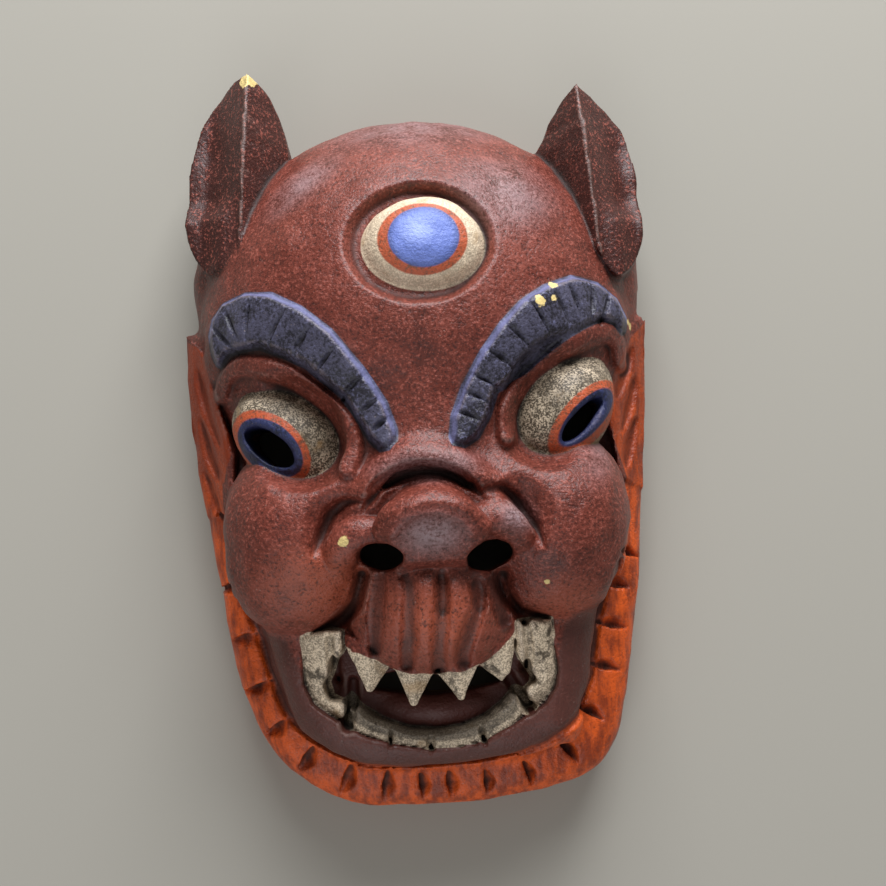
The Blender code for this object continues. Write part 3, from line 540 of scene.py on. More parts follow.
MOUTH = (
    (-44.6, -71), (-34, -69.5), (-30, -72.5), (-25.6, -75.0), (-19.7, -77.8), (-13, -81.2),
    (-8.3, -82.6), (1.1, -83.4), (10.6, -83.2), (16.6, -80.8), (21.7, -77.9), (26.1, -74.2),
    (30, -70.5), (41, -71), (43, -86), (41.5, -92.3), (37.7, -97.2), (30.7, -100.8), (25.8, -104.4),
    (16, -108.8), (5.7, -110.6), (-3.6, -110.4), (-15, -108.2), (-24, -105.1), (-31, -101.1),
    (-37, -96.8), (-42, -92.8), (-44.8, -86),
)
MOUTH_FLOOR, SLOT_TOP = 40.0, 46.0
FANGS = (
    ((-29.2, -71.7), (-13.9, -79.7), (-21.8, -88.5), 62),
    ((-13.2, -79), (0.7, -82.3), (-7.1, -93.4), 67),
    ((0.7, -82.3), (15, -80.8), (8.9, -92.5), 67),
    ((14.5, -80.5), (28.8, -70.7), (24.2, -88.5), 62),
)
FANG_ROOT, FANG_THICK, FANG_SLOPE = 3.5, 16.0, 0.6
LEFT_CORNER = (
    (-44.9, -68), (-33.7, -67), (-30, -67.5), (-30.4, -74.5), (-33.1, -77.9), (-36.9, -86.4),
    (-35.7, -91.3), (-29.5, -94), (-28.5, -99), (-37.3, -97.6), (-42.7, -93.6), (-45.4, -85.9),
    (-45.8, -77.6),
)
RIGHT_CORNER = (
    (29, -68), (41.3, -68), (42.2, -79.8), (43.8, -86.4), (42.4, -92.8), (38.4, -97.9), (30, -100),
    (28.4, -95.8), (34.6, -89.6), (32.5, -86), (30, -81.9), (28.6, -77.2),
)
LOWER_ROW = (
    (-31.5, -101.9), (-24.1, -105.8), (-15, -108.9), (-3.6, -111.2), (5.7, -111.4), (16.3, -109.7),
    (25.9, -105.2), (31.2, -100.7), (31.5, -93), (27.6, -92), (22.7, -97.3), (16.7, -100.9),
    (8.4, -103.8), (-0.8, -104.3), (-9.9, -103.2), (-18.9, -99.7), (-25.6, -95.3), (-29.4, -91),
    (-33, -94),
)
LOWER_ROW_TOP = 50.0
ROW_NOTCHES = ((-15.9, -106), (-2.2, -108.5), (15.8, -106.8))


def tooth(left, right, tip, top):
    """A broad pointed tooth below the lip. Its front is a ridge from the middle of the root to the tip."""
    left, right, tip = (np.array(p, float) for p in (left, right, tip))
    up = np.array([0.0, FANG_ROOT])
    outline = np.vstack([left + up, left, tip - (0.8, 0), tip + (0.8, 0), right, right + up])
    middle = (left + right) / 2
    along = (tip - middle) / np.hypot(*(tip - middle))

    def front(x, y, inside):
        off_ridge = np.abs((x - middle[0]) * along[1] - (y - middle[1]) * along[0])
        down = (x - middle[0]) * along[0] + (y - middle[1]) * along[1]
        return top - FANG_SLOPE * off_ridge - 0.4 * np.maximum(down, 0)

    return block_under(outline, top - FANG_THICK, front, 0.8)


def corner_block(outline, side):
    """The thick block of a corner tooth, which turns down into the lower row."""

    def front(x, y, inside):
        outward = np.maximum(x * side - 30, 0)
        return 61 - 0.55 * outward - 0.38 * (-70 - y) - 1.5 * soft_step(1 - inside / 2)

    return block_under(outline, MOUTH_FLOOR - 6, front, 0.8)


def lower_row():
    def top(x, y, inside):
        return LOWER_ROW_TOP - 3.0 * soft_step(1 - inside / 2)

    return block_under(LOWER_ROW, MOUTH_FLOOR - 6, top, 0.8)


def teeth():
    corners = [corner_block(LEFT_CORNER, -1), corner_block(RIGHT_CORNER, 1)]
    return [tooth(*fang) for fang in FANGS] + corners + [lower_row()]


def mouth(block):
    """An open mouth under a fluted upper lip, with four fangs, corner teeth, a lower row and a tongue."""
    block.cut(well(MOUTH, MOUTH_FLOOR, 2.0), 1.0)
    block.add(ellipsoid((0, -98, 32), (25, 10, 14)), 2)
    for shape in teeth():
        block.add(shape, 0.4)


# The middle of each gouge across the border of hair
GOUGES = ((-72, -51), (-68, -70), (-64, -88), (-58, -103), (-48, -115), (-34, -123), (-20, -126),
          (-7, -127), (3, -127), (16, -127), (31, -125), (46, -118), (55, -105), (62, -89),
          (65, -74), (68, -60), (71, -48))
TUFT_GROOVES = (
    ((80, 28), (75.5, 17), (71, 7)), ((80.5, 17), (76.5, 5), (72.5, -5)),
    ((80, 2), (76.5, -8), (74, -18)), ((-80, 30), (-77, 16), (-71, -2)),
    ((-80, 12), (-77, -2), (-72.5, -14)), ((-79.5, -8), (-76, -18), (-73, -28)),
)
HAIR_EDGE = ((-67, -56), (-62, -71), (-58, -85), (-53, -99), (-43, -108), (-31, -114), (-11, -117.5),
             (1, -118), (21, -116.5), (37, -111), (49, -103), (55, -92), (58, -78), (62, -64), (66, -50))


def hair_border(block):
    """A crease between the jaw and its border of hair, and flame grooves in the two tufts."""
    block.furrow(HAIR_EDGE, 0.6, 1.6, 1.8)
    for groove in TUFT_GROOVES:
        block.nick(groove, 2.6, 1.5)


def carved():
    """The whole mask as a block of distances, hollowed from behind and pierced, and the hollow."""
    mask = Block(GRID_LOW, GRID_HIGH, VOXEL)
    main_masses(mask)
    ears(mask)
    tufts(mask)
    third_eye(mask)
    brows(mask)
    eyes(mask)
    nose(mask)
    mouth(mask)
    scooped = Block(GRID_LOW, GRID_HIGH, VOXEL)
    main_masses(scooped, HOLLOW_SOFTNESS)
    hollow = np.maximum(scooped.distance + units(WALL), mask.distance + units(LEAST_WALL))
    mask.distance = -blend_of(-mask.distance, hollow, 1.0)
    for nick in MUZZLE_NICKS:
        mask.nick(nick, 3.4, 2.2)
    hair_border(mask)
    repeated_cuts(mask)
    for name, eye in EYES.items():
        width = EYE_HOLE_WIDTH if name == "left" else 0.7 * EYE_HOLE_WIDTH
        mask.cut(bore(eye["hole"], units(EYE_HOLE_LENGTH), units(width), eye["hole_turn"]), 2.0)
    for x, y, turn in NOSTRILS:
        mask.cut(bore((x, y), units(NOSTRIL_LENGTH), units(NOSTRIL_WIDTH), turn), 1.0)
    mask.cut(bore((0, -88), units(MOUTH_SLOT_LENGTH), units(MOUTH_SLOT_WIDTH), 0, SLOT_TOP), 0.5)
    return mask, hollow


def surface_of(block):
    """The block's surface: its points in carver's units, and its triangles."""
    block.distance = np.maximum(block.distance, -block.axes[2][None, None, :].astype(np.float32))
    grid = openvdb.FloatGrid(FAR)
    grid.copyFromArray(block.distance)
    points, quads = grid.convertToQuads(0.0)
    points = points * block.step + block.low
    mesh = bpy.data.meshes.new("fine_surface")
    mesh.from_pydata(points.tolist(), [], quads.tolist())
    shell = bmesh.new()
    shell.from_mesh(mesh)
    if shell.calc_volume(signed=True) < 0:
        bmesh.ops.reverse_faces(shell, faces=shell.faces[:])
    bmesh.ops.triangulate(shell, faces=shell.faces[:])
    shell.to_mesh(mesh)
    shell.free()
    return mesh


def thinned(mesh):
    """The mesh with its flat areas in fewer triangles."""
    rough = bpy.data.objects.new("fine_surface", mesh)
    bpy.context.scene.collection.objects.link(rough)
    decimate = rough.modifiers.new("fewer_triangles", "DECIMATE")
    decimate.ratio = MOST_TRIANGLES / len(mesh.polygons)
    bpy.context.view_layer.update()
    graph = bpy.context.evaluated_depsgraph_get()
    fewer = bpy.data.meshes.new_from_object(rough.evaluated_get(graph))
    bpy.data.objects.remove(rough)
    return fewer


def points_of(mesh):
    points = np.empty(len(mesh.vertices) * 3, np.float32)
    mesh.vertices.foreach_get("co", points)
    return points.reshape(-1, 3).astype(float)


def keep_amount(mesh, name, values):
    """Stores one number for each point of the mesh, for the paint to read."""
    mesh.attributes.new(name, "FLOAT", "POINT").data.foreach_set("value", values.astype(np.float32))


def box_mean(field, radius):
    """The mean of a field over a cube round each cell."""
    for axis in range(3):
        pad = [(0, 0)] * 3
        pad[axis] = (radius + 1, radius)
        total = np.cumsum(np.pad(field, pad, mode="edge"), axis=axis, dtype=np.float32)
        count = total.shape[axis]
        upper = np.take(total, range(2 * radius + 1, count), axis=axis)
        lower = np.take(total, range(0, count - 2 * radius - 1), axis=axis)
        field = (upper - lower) / (2 * radius + 1)
    return field


def sampled(block, field, points):
    """A field of the block read at these points, between its cells."""
    place = (points - block.low) / block.step
    cell = np.clip(np.floor(place).astype(int), 0, np.array(field.shape) - 2)
    share = np.clip(place - cell, 0, 1)
    value = np.zeros(len(points))
    for corner in np.ndindex(2, 2, 2):
        weight = np.prod(np.where(corner, share, 1 - share), axis=1)
        value += weight * field[tuple((cell + corner).T)]
    return value


class Amount:
    """A number that varies over the surface, written into sums as plain numbers are."""

    def __init__(self, recipe, socket):
        self.recipe, self.socket = recipe, socket

    def __add__(self, other):
        return self.recipe.maths("ADD", self, other)

    def __sub__(self, other):
        return self.recipe.maths("SUBTRACT", self, other)

    def __rsub__(self, other):
        return self.recipe.maths("SUBTRACT", other, self)

    def __mul__(self, other):
        return self.recipe.maths("MULTIPLY", self, other)

    def __truediv__(self, other):
        return self.recipe.maths("DIVIDE", self, other)

    def __pow__(self, other):
        return self.recipe.maths("POWER", self, other)

    __radd__ = __add__
    __rmul__ = __mul__


class Tree:
    """A tree of nodes, in which sums are written with plain signs."""

    def __init__(self, tree):
        self.tree = tree

    def node(self, kind, settings=(), sockets=()):
        node = self.tree.nodes.new(kind)
        for name, value in dict(settings).items():
            setattr(node, name, value)
        for name, value in dict(sockets).items():
            value = getattr(value, "socket", value)
            if isinstance(value, bpy.types.NodeSocket):
                self.tree.links.new(value, node.inputs[name])
            else:
                node.inputs[name].default_value = value
        return node

    def maths(self, operation, *terms, clamp=False):
        settings = {"operation": operation, "use_clamp": clamp}
        return Amount(self, self.node("ShaderNodeMath", settings, enumerate(terms)).outputs[0])

    def split(self, vector):
        """The three parts of a place."""
        node = self.node("ShaderNodeSeparateXYZ", {}, {0: vector})
        return [Amount(self, socket) for socket in node.outputs]


class Recipe(Tree):
    """A finish, mixed from nodes."""

    def __init__(self, name):
        self.material = bpy.data.materials.new(name)
        self.material.use_nodes = True
        super().__init__(self.material.node_tree)
        self.tree.nodes.clear()
        self.place = self.node("ShaderNodeTexCoord").outputs["Object"]

    def clamped(self, amount):
        return self.maths("ADD", amount, 0.0, clamp=True)

    def stored(self, name):
        """A number that the mesh keeps for each of its points."""
        return Amount(self, self.node("ShaderNodeAttribute", {"attribute_name": name}).outputs["Fac"])

    def rise(self, amount, start, end):
        """0 before start, 1 after end and a smooth rise between. It falls if end is the lower one."""
        settings = {"interpolation_type": "SMOOTHSTEP"}
        sockets = {"Value": amount, "From Min": start, "From Max": end}
        return Amount(self, self.node("ShaderNodeMapRange", settings, sockets).outputs["Result"])

    def noise(self, size, detail=3.0, roughness=0.55, stretch=(1, 1, 1)):
        """Cloudy variation about 0.5, with features this many metres across."""
        scaled = self.node("ShaderNodeMapping", {}, {"Vector": self.place, "Scale": stretch})
        sockets = {
            "Vector": scaled.outputs["Vector"],
            "Scale": 1 / size,
            "Detail": detail,
            "Roughness": roughness,
        }
        return Amount(self, self.node("ShaderNodeTexNoise", {}, sockets).outputs["Fac"])

    def specks(self, size):
        """How far each place is from the nearest of many scattered points: 0 on a point."""
        sockets = {"Vector": self.place, "Scale": 1 / size}
        return Amount(self, self.node("ShaderNodeTexVoronoi", {}, sockets).outputs["Distance"])

    def mixed(self, under, over, share):
        """One colour laid over another by this share."""
        node = self.node("ShaderNodeMix", {"data_type": "RGBA"}, {0: share, 6: under, 7: over})
        return node.outputs[2]


class Pattern(Tree):
    """A Geometry Nodes tree that makes cutters on a chain of points, with named sizes."""

    def __init__(self, name, sizes):
        super().__init__(bpy.data.node_groups.new(name, "GeometryNodeTree"))
        face = self.tree.interface
        face.new_socket("Chain", in_out="INPUT", socket_type="NodeSocketGeometry")
        for label in sizes:
            face.new_socket(label, in_out="INPUT", socket_type="NodeSocketFloat")
        face.new_socket("Cutters", in_out="OUTPUT", socket_type="NodeSocketGeometry")
        given = self.node("NodeGroupInput").outputs
        self.chain = self.node("GeometryNodeMeshToCurve", {}, {0: given["Chain"]}).outputs[0]
        self.sizes = [Amount(self, given[label]) for label in sizes]

    def spread(self, low, high, seed):
        """A different number for each cutter, between these two."""
        sockets = {"Min": low, "Max": high, "Seed": seed}
        node = self.node("FunctionNodeRandomValue", {"data_type": "FLOAT"}, {})
        for label, value in sockets.items():
            for socket in node.inputs:
                if socket.name == label and socket.enabled:
                    socket.default_value = value
        return Amount(self, next(socket for socket in node.outputs if socket.enabled))

    def vector(self, *parts):
        return self.node("ShaderNodeCombineXYZ", {}, enumerate(parts)).outputs[0]

    def finish(self, cutters, material):
        solid = self.node("GeometryNodeRealizeInstances", {}, {0: cutters}).outputs[0]
        painted = self.node("GeometryNodeSetMaterial", {}, {0: solid, "Material": material})
        self.node("NodeGroupOutput", {}, {0: painted.outputs[0]})
        return self

    def run(self, chain, values, reaches=1.0):
        """The plain mesh that the tree makes on these points. A reach is a share of the full length."""
        mesh = bpy.data.meshes.new(self.tree.name)
        mesh.from_pydata(chain, [(n, n + 1) for n in range(len(chain) - 1)], [])
        keep_amount(mesh, "reach", np.broadcast_to(reaches, len(chain)))
        holder = bpy.data.objects.new(self.tree.name, mesh)
        bpy.context.scene.collection.objects.link(holder)
        modifier = holder.modifiers.new(self.tree.name, "NODES")
        modifier.node_group = self.tree
        sockets = [item for item in self.tree.interface.items_tree if item.in_out == "INPUT"]
        for socket, value in zip(sockets[1:], values):
            modifier[socket.identifier] = float(value)
        bpy.context.view_layer.update()
        graph = bpy.context.evaluated_depsgraph_get()
        cutters = bpy.data.meshes.new_from_object(holder.evaluated_get(graph))
        bpy.data.objects.remove(holder)
        return cutters


def chisel_cuts(material):
    """Cuts with pointed ends, one beside each point of a chain, that lean to one side and bow a little."""
    p = Pattern("chisel_cuts", ("Width", "Length", "Depth", "Lean", "Bow", "Unevenness"))
    width, length, depth, lean, bow, uneven = p.sizes
    ball = p.node("GeometryNodeMeshIcoSphere", {}, {"Radius": 1.0, "Subdivisions": 5}).outputs[0]
    x, y, z = p.split(p.node("GeometryNodeInputPosition").outputs[0])
    narrow = 1 - p.maths("ABSOLUTE", y)
    place = p.vector(
        x * width * 0.5 * (0.55 + narrow * 0.45) + (1 - y * y) * bow + z * lean,
        y * length * 0.5,
        z * depth * (0.4 + narrow * 0.6),
    )
    blade = p.node("GeometryNodeSetPosition", {}, {0: ball, "Position": place}).outputs[0]
    tangent = p.node("GeometryNodeInputTangent").outputs[0]
    facing = p.node(
        "FunctionNodeAlignRotationToVector", {"axis": "X", "pivot_axis": "Z"}, {"Vector": tangent}
    ).outputs[0]
    swing = p.vector(0.0, 0.0, p.spread(-1.0, 1.0, 3) * uneven * 0.8)
    swing = p.node("FunctionNodeEulerToRotation", {}, {0: swing}).outputs[0]
    facing = p.node(
        "FunctionNodeRotateRotation", {"rotation_space": "LOCAL"}, {0: facing, 1: swing}
    ).outputs[0]
    reach = p.node("GeometryNodeInputNamedAttribute", {"data_type": "FLOAT"}, {"Name": "reach"}).outputs[0]
    scale = p.vector(
        1 + p.spread(-1.0, 1.0, 5) * uneven,
        (1 + p.spread(-1.0, 1.0, 8) * uneven) * Amount(p, reach),
        1 + p.spread(-1.0, 1.0, 13) * uneven,
    )
    cuts = p.node("GeometryNodeInstanceOnPoints", {}, {
        "Points": p.chain, "Instance": blade, "Rotation": facing, "Scale": scale,
    }).outputs[0]
    return p.finish(cuts, material)


def gouge_runs(material):
    """A round-bottomed groove along a chain, narrower toward its two ends."""
    p = Pattern("gouge_runs", ("Radius", "Taper"))
    radius, taper = p.sizes
    along = Amount(p, p.node("GeometryNodeSplineParameter").outputs["Factor"])
    middle = along * (1 - along) * 4
    size = radius * (1 - taper + taper * p.maths("SQRT", middle))
    smooth = p.node("GeometryNodeCurveSplineType", {"spline_type": "CATMULL_ROM"}, {0: p.chain})
    ring = p.node("GeometryNodeCurvePrimitiveCircle", {}, {"Resolution": 20, "Radius": 1.0}).outputs[0]
    groove = p.node("GeometryNodeCurveToMesh", {}, {
        "Curve": smooth.outputs[0], "Profile Curve": ring, "Fill Caps": True, "Scale": size,
    }).outputs[0]
    return p.finish(groove, material)


# How far from the surface a cutter reaches, in carver's units
CUT_REACH = 7.5


def cut_with(block, mesh):
    """Cuts a closed mesh out of the front of the block. The mesh lies flat: its Z is measured from the surface."""
    mesh.calc_loop_triangles()
    triangles = np.empty(len(mesh.loop_triangles) * 3, np.int32)
    mesh.loop_triangles.foreach_get("vertices", triangles)
    places = (points_of(mesh) - (*block.low[:2], -CUT_REACH)) / block.step
    grid = openvdb.FloatGrid.createLevelSetFromPolygons(
        places.astype(np.float32), triangles=triangles.reshape(-1, 3).astype(np.uint32), halfWidth=4
    )
    start = np.floor(places.min(axis=0)).astype(int)[:2] - 5
    end = np.ceil(places.max(axis=0)).astype(int)[:2] + 6
    cutter = np.empty((*(end - start), int(2 * CUT_REACH / block.step) + 1), np.float32)
    grid.copyToArray(cutter, ijk=(int(start[0]), int(start[1]), 0))
    cutter *= block.step
    spans = tuple(slice(a, b) for a, b in zip(start, end))
    wood = block.distance[spans]
    level = (wood + CUT_REACH) / block.step
    cell = np.clip(level.astype(int), 0, cutter.shape[2] - 2)
    share = np.clip(level - cell, 0, 1)
    i, j = np.ogrid[: wood.shape[0], : wood.shape[1]]
    i, j = i[..., None], j[..., None]
    value = cutter[i, j, cell] * (1 - share) + cutter[i, j, cell + 1] * share
    count = wood.shape[2]
    top = count - 1 - np.argmax(wood[:, :, ::-1] < 0, axis=2)
    front = np.arange(count) > top[..., None] - CUT_REACH / block.step
    near = front & (np.abs(wood) < CUT_REACH) & (value < 3.5 * block.step)
    block.distance[spans] = np.where(near, -blend_of(-wood, value, 0.3), wood)


OXBLOOD = (0.135, 0.027, 0.016, 1)
OXBLOOD_LIGHT = (0.290, 0.078, 0.054, 1)
OXBLOOD_DARK = (0.030, 0.008, 0.006, 1)
OXBLOOD_WARM = (0.400, 0.090, 0.042, 1)
# Greyish pink for a painted sheen on the satin paint
PAINTED_SHEEN = (0.260, 0.190, 0.200, 1)
ORANGE = (0.62, 0.090, 0.010, 1)
ORANGE_DARK = (0.16, 0.022, 0.006, 1)
GROOVE_BROWN = (0.055, 0.026, 0.022, 1)
SLATE = (0.064, 0.060, 0.094, 1)
SLATE_DARK = (0.016, 0.014, 0.020, 1)
PERIWINKLE = (0.150, 0.155, 0.290, 1)
CREAM = (0.700, 0.560, 0.400, 1)
CREAM_DARK = (0.050, 0.036, 0.022, 1)
CREAM_OCHRE = (0.330, 0.190, 0.070, 1)
RING_ORANGE = (0.430, 0.070, 0.020, 1)
IRIS_BLUE = (0.130, 0.180, 0.480, 1)
IRIS_LIGHT = (0.330, 0.400, 0.720, 1)
DEEP_BLUE = (0.026, 0.032, 0.095, 1)
NAVY_DARK = (0.006, 0.007, 0.014, 1)
LIP = (0.070, 0.024, 0.018, 1)
MOUTH_RED = (0.075, 0.020, 0.015, 1)
# Near-black, for grime and for painted shade in creases and hollows
GRIME_AND_SHADE = (0.009, 0.006, 0.005, 1)
DUST = (0.360, 0.270, 0.230, 1)
RAW_WOOD = (0.22, 0.12, 0.06, 1)
RAW_WOOD_DARK = (0.09, 0.045, 0.022, 1)
BARE = (0.66, 0.50, 0.20, 1)

# Ovals of paint, in carver's units: centre, half length, half width and turn in degrees
RINGS = {
    "third_ring": ((5.6, 60.6), 14.8, 12.2, -3),
    "third_iris": ((6.0, 61.0), 11.6, 10.3, -3),
    "left_ring": ((-50.5, -3.5), 16.0, 10.6, -38),
    "left_blue": ((-50.3, -3.8), 13.0, 8.4, -38),
    "right_ring": ((57.0, -0.3), 17.0, 8.0, 42),
    "right_blue": ((57.2, -0.2), 13.4, 5.4, 42),
}
CHIPS = ((-25.7, -36.6, 1.6), (39.3, -54.6, 0.8), (48.1, 44.1, 1.6), (42.5, 38.1, 2.0), (47.8, 39.2, 1.1),
         (-54.0, 132.0, 3.0), (78.4, 35.2, 1.6))


def paint(fit):
    """The old paint of the mask: satin red, orange, slate and cream, worn, with grime and painted shade in the
    hollows, and painted sheen and highlights.
    """
    size, middle = fit
    r = Recipe("old_painted_wood")
    x, y, z = r.split(r.place)
    x = x * (1 / size[0]) + middle[0]
    y = y * (1 / size[1]) + middle[1]

    def oval(centre, half_length, half_width, turn):
        """How far outside an oval the place is, in carver's units: negative inside."""
        cos, sin = np.cos(np.radians(turn)), np.sin(np.radians(turn))
        u = ((x - centre[0]) * cos + (y - centre[1]) * sin) / half_length
        v = ((y - centre[1]) * cos - (x - centre[0]) * sin) / half_width
        return (r.maths("SQRT", u * u + v * v) - 1) * min(half_length, half_width)

    broad = r.noise(0.045, 2)
    cloudy = r.noise(0.011, 4)
    brushy = r.noise(0.0035, 4, 0.65)
    gritty = r.noise(0.0011, 2, 0.7)
    strokes = r.noise(0.0030, 3, 0.6, (1.0, 0.22, 0.6))
    wobble = (cloudy - 0.5) * 1.6
    crease = r.stored("crease")
    shade = r.stored("shade")
    edge = r.stored("edge")
    depth = r.stored("depth")
    grain = (gritty - 0.5) * 1.15 + (brushy - 0.5) * 0.45

    def inside(amount, softness=0.35):
        """1 where the distance is negative, 0 outside, with a hand-painted border."""
        return r.rise(amount + wobble * 0.35, softness, -softness)

    def patch(centre, radii, turn=0):
        """A soft oval area, 1 in its middle."""
        return r.rise(oval(centre, *radii, turn), 0.0, -min(radii))

    # Warmer, lighter red on the lower cheeks and below the nose: partly the paint's own warmer tone, partly
    # painted light on the lower face
    warm = patch((-36, -52), (32, 20)) + patch((2, -66), (30, 22)) + patch((46, -62), (22, 14)) * 0.6
    red = r.mixed(OXBLOOD, OXBLOOD_LIGHT, r.rise(broad * 0.5 + cloudy * 0.5, 0.50, 0.80) * 0.7)
    red = r.mixed(red, OXBLOOD_WARM, r.clamped(warm) * 0.8)
    # The ears are darkened: painted shade on their sideways faces
    red = r.mixed(red, OXBLOOD_DARK, r.rise(r.stored("ear"), 1.5, 0.3) * 0.84)
    # The left side of the face darkens toward the temple and ear: painted shade on the side away from the light
    red = r.mixed(red, OXBLOOD_DARK, r.rise(x, -48.0, -82.0) * 0.45)
    red = r.mixed(red, OXBLOOD_DARK, r.rise(broad * 0.4 + cloudy * 0.6, 0.50, 0.30) * 0.55)
    red = r.mixed(red, OXBLOOD_DARK, r.rise(grain, 0.02, -0.28) * 0.80)
    red = r.mixed(red, OXBLOOD_LIGHT, r.rise(grain, 0.03, 0.24) * 0.80)
    groove = r.rise(r.stored("groove") + (brushy - 0.5) * 2.0, 2.9, 0.9)
    red = r.mixed(red, GROOVE_BROWN, groove * (0.25 + cloudy * 0.65))
    # Greyish pink patches on the nose, brow, forehead and right cheek, broken up by grain: a painted sheen where
    # daylight catches the satin paint
    painted_sheen_patches = patch((3, -36), (16, 10)) + patch((3, -14), (26, 8)) * 0.8 + patch((31, -32), (9, 8))
    painted_sheen_patches = painted_sheen_patches + patch((34, 78), (26, 22)) * 0.7 + patch((62, -10), (10, 22), -20) * 0.45
    painted_sheen_patches = painted_sheen_patches + patch((-34, 88), (24, 10), 40) * 0.6 + patch((4, 110), (46, 16)) * 0.6
    red = r.mixed(red, PAINTED_SHEEN, r.clamped(painted_sheen_patches) * r.rise(grain + (cloudy - 0.5), -0.35, 0.30) * 0.95)
    orange = r.mixed(ORANGE, ORANGE_DARK, r.rise(cloudy * 0.4 + strokes * 0.6, 0.60, 0.38) * 0.85)
    orange = r.mixed(orange, ORANGE_DARK, r.rise(grain, 0.0, -0.35) * 0.7)
    # The orange darkens from the chin up toward the tufts, and more on the left side; the extra darkening on the
    # left is painted shade
    orange = r.mixed(orange, ORANGE_DARK, r.rise(y, -50.0, 10.0) * (0.60 + r.rise(x, 0.0, -70.0) * 0.30))
    slate = r.mixed(SLATE, SLATE_DARK, r.rise(grain + (cloudy - 0.5), 0.15, -0.25))
    # Light slate-blue specks, more on the ridges: the specks are the paint's own, the extra on the ridges is a
    # painted highlight
    slate = r.mixed(slate, PERIWINKLE, r.rise(grain + edge * 0.12, 0.12, 0.45) * 0.6)
    fine_grain = r.noise(0.00060, 2, 0.6)
    mottling = r.rise(fine_grain * 0.65 + brushy * 0.35, 0.57, 0.45)
    side_eyes = r.rise(y, -55.0, -40.0) * r.rise(y, 45.0, 30.0)
    cream = r.mixed(CREAM, CREAM_DARK, mottling * (0.62 + side_eyes * 0.33 - r.rise(y, 30.0, 45.0) * 0.27))
    cream = r.mixed(cream, CREAM_DARK, side_eyes * (0.25 + r.rise(cloudy, 0.35, 0.60) * 0.45))
    streaks = r.rise(y, -60.0, -66.0) * r.rise(brushy * 0.55 + cloudy * 0.45, 0.47, 0.38)
    cream = r.mixed(cream, CREAM_DARK, streaks * 0.85)
    cream = r.mixed(cream, CREAM_OCHRE, r.rise(cloudy, 0.56, 0.70) * 0.5)

    hair = inside(r.stored("hair"))
    brow = inside(r.stored("brow"), 0.25)
    white = r.rise(r.stored("white"), 0.75, 0.35)
    mouth = inside(r.stored("mouth"))
    lip = inside(r.stored("lip"), 1.2)
    row = r.rise(r.stored("row"), 0.9, 0.4)
    cream = r.mixed(cream, CREAM_DARK, row * 0.35)
    bare_back = r.rise(r.stored("hollow"), -3.0, -2.2)

    colour = r.mixed(red, orange, hair)
    colour = r.mixed(colour, LIP, lip * 0.85)
    colour = r.mixed(colour, MOUTH_RED, mouth)
    # A lighter slate-blue strip along the top bevel of each brow: a painted highlight
    strip = r.rise(r.stored("brow_top") + wobble * 0.6, 3.0, 1.6) * brow
    slate = r.mixed(slate, PERIWINKLE, strip * (0.35 + brushy * 0.9))
    colour = r.mixed(colour, slate, brow)
    colour = r.mixed(colour, cream, white)
    ring = 0.0
    for name in ("third_ring", "left_ring", "right_ring"):
        ring = ring + inside(oval(*RINGS[name]), 0.3)
    ring_paint = r.mixed(RING_ORANGE, CREAM_DARK, r.rise(grain, 0.10, -0.30) * 0.85)
    colour = r.mixed(colour, ring_paint, r.clamped(ring) * white * 0.94)
    deep = inside(oval(*RINGS["left_blue"]), 0.3) + inside(oval(*RINGS["right_blue"]), 0.3)
    navy = r.mixed(DEEP_BLUE, NAVY_DARK, r.rise(grain + (cloudy - 0.5), 0.15, -0.25) * 0.8)
    colour = r.mixed(colour, navy, r.clamped(deep) * white)
    iris_shape = oval(*RINGS["third_iris"])
    # A lighter patch toward the top of the forehead eye's iris: a painted highlight
    iris_paint = r.mixed(IRIS_BLUE, IRIS_LIGHT, r.clamped(patch((4, 63), (8, 7)) + grain * 0.8) * 0.7)
    iris_paint = r.mixed(iris_paint, DEEP_BLUE, r.rise(iris_shape, -2.5, 0.2) * 0.55)
    colour = r.mixed(colour, iris_paint, inside(iris_shape, 0.3) * white)

    dust = r.rise(r.specks(0.0021), 0.15, 0.05) * r.rise(cloudy, 0.48, 0.62)
    colour = r.mixed(colour, DUST, dust * 0.45)
    worn = r.rise(edge + (gritty - 0.5) * 1.2 + (cloudy - 0.5) * 1.2, 0.80, 1.35)
    colour = r.mixed(colour, DUST, worn * 0.16)
    uneven = (cloudy - 0.5) * 0.9 + (gritty - 0.5) * 0.6
    # Darker in creases and in wide hollows: partly grime in the creases, partly painted shade, and the wide
    # hollows read from the stored shade are all painted shade
    grime_and_shade = r.rise(crease * (0.75 + hair * 0.5) + shade * 0.45 + uneven, 0.20, 1.25)
    colour = r.mixed(colour, GRIME_AND_SHADE, grime_and_shade * 0.85)
    # The back of the lower row, away from its front edge, is darkened: painted shade deep in the mouth under the
    # lip
    back_of_row = row * r.rise(r.stored("row_front"), 3.2, 4.2) * (0.25 + brushy * 0.7)
    colour = r.mixed(colour, GRIME_AND_SHADE, back_of_row)
    chips = 0.0
    for chip_x, chip_y, radius in CHIPS:
        gap = r.maths("SQRT", (x - chip_x) * (x - chip_x) + (y - chip_y) * (y - chip_y))
        chips = chips + r.rise(gap + (brushy - 0.5) * 4, radius + 0.2, radius - 0.3)
    chips = r.clamped(chips) * r.rise(depth, 25, 30)
    colour = r.mixed(colour, BARE, chips)
    wood = r.mixed(RAW_WOOD, RAW_WOOD_DARK, r.noise(0.004, 4, 0.6, (1.0, 0.12, 1.0)))
    colour = r.mixed(colour, wood, bare_back)

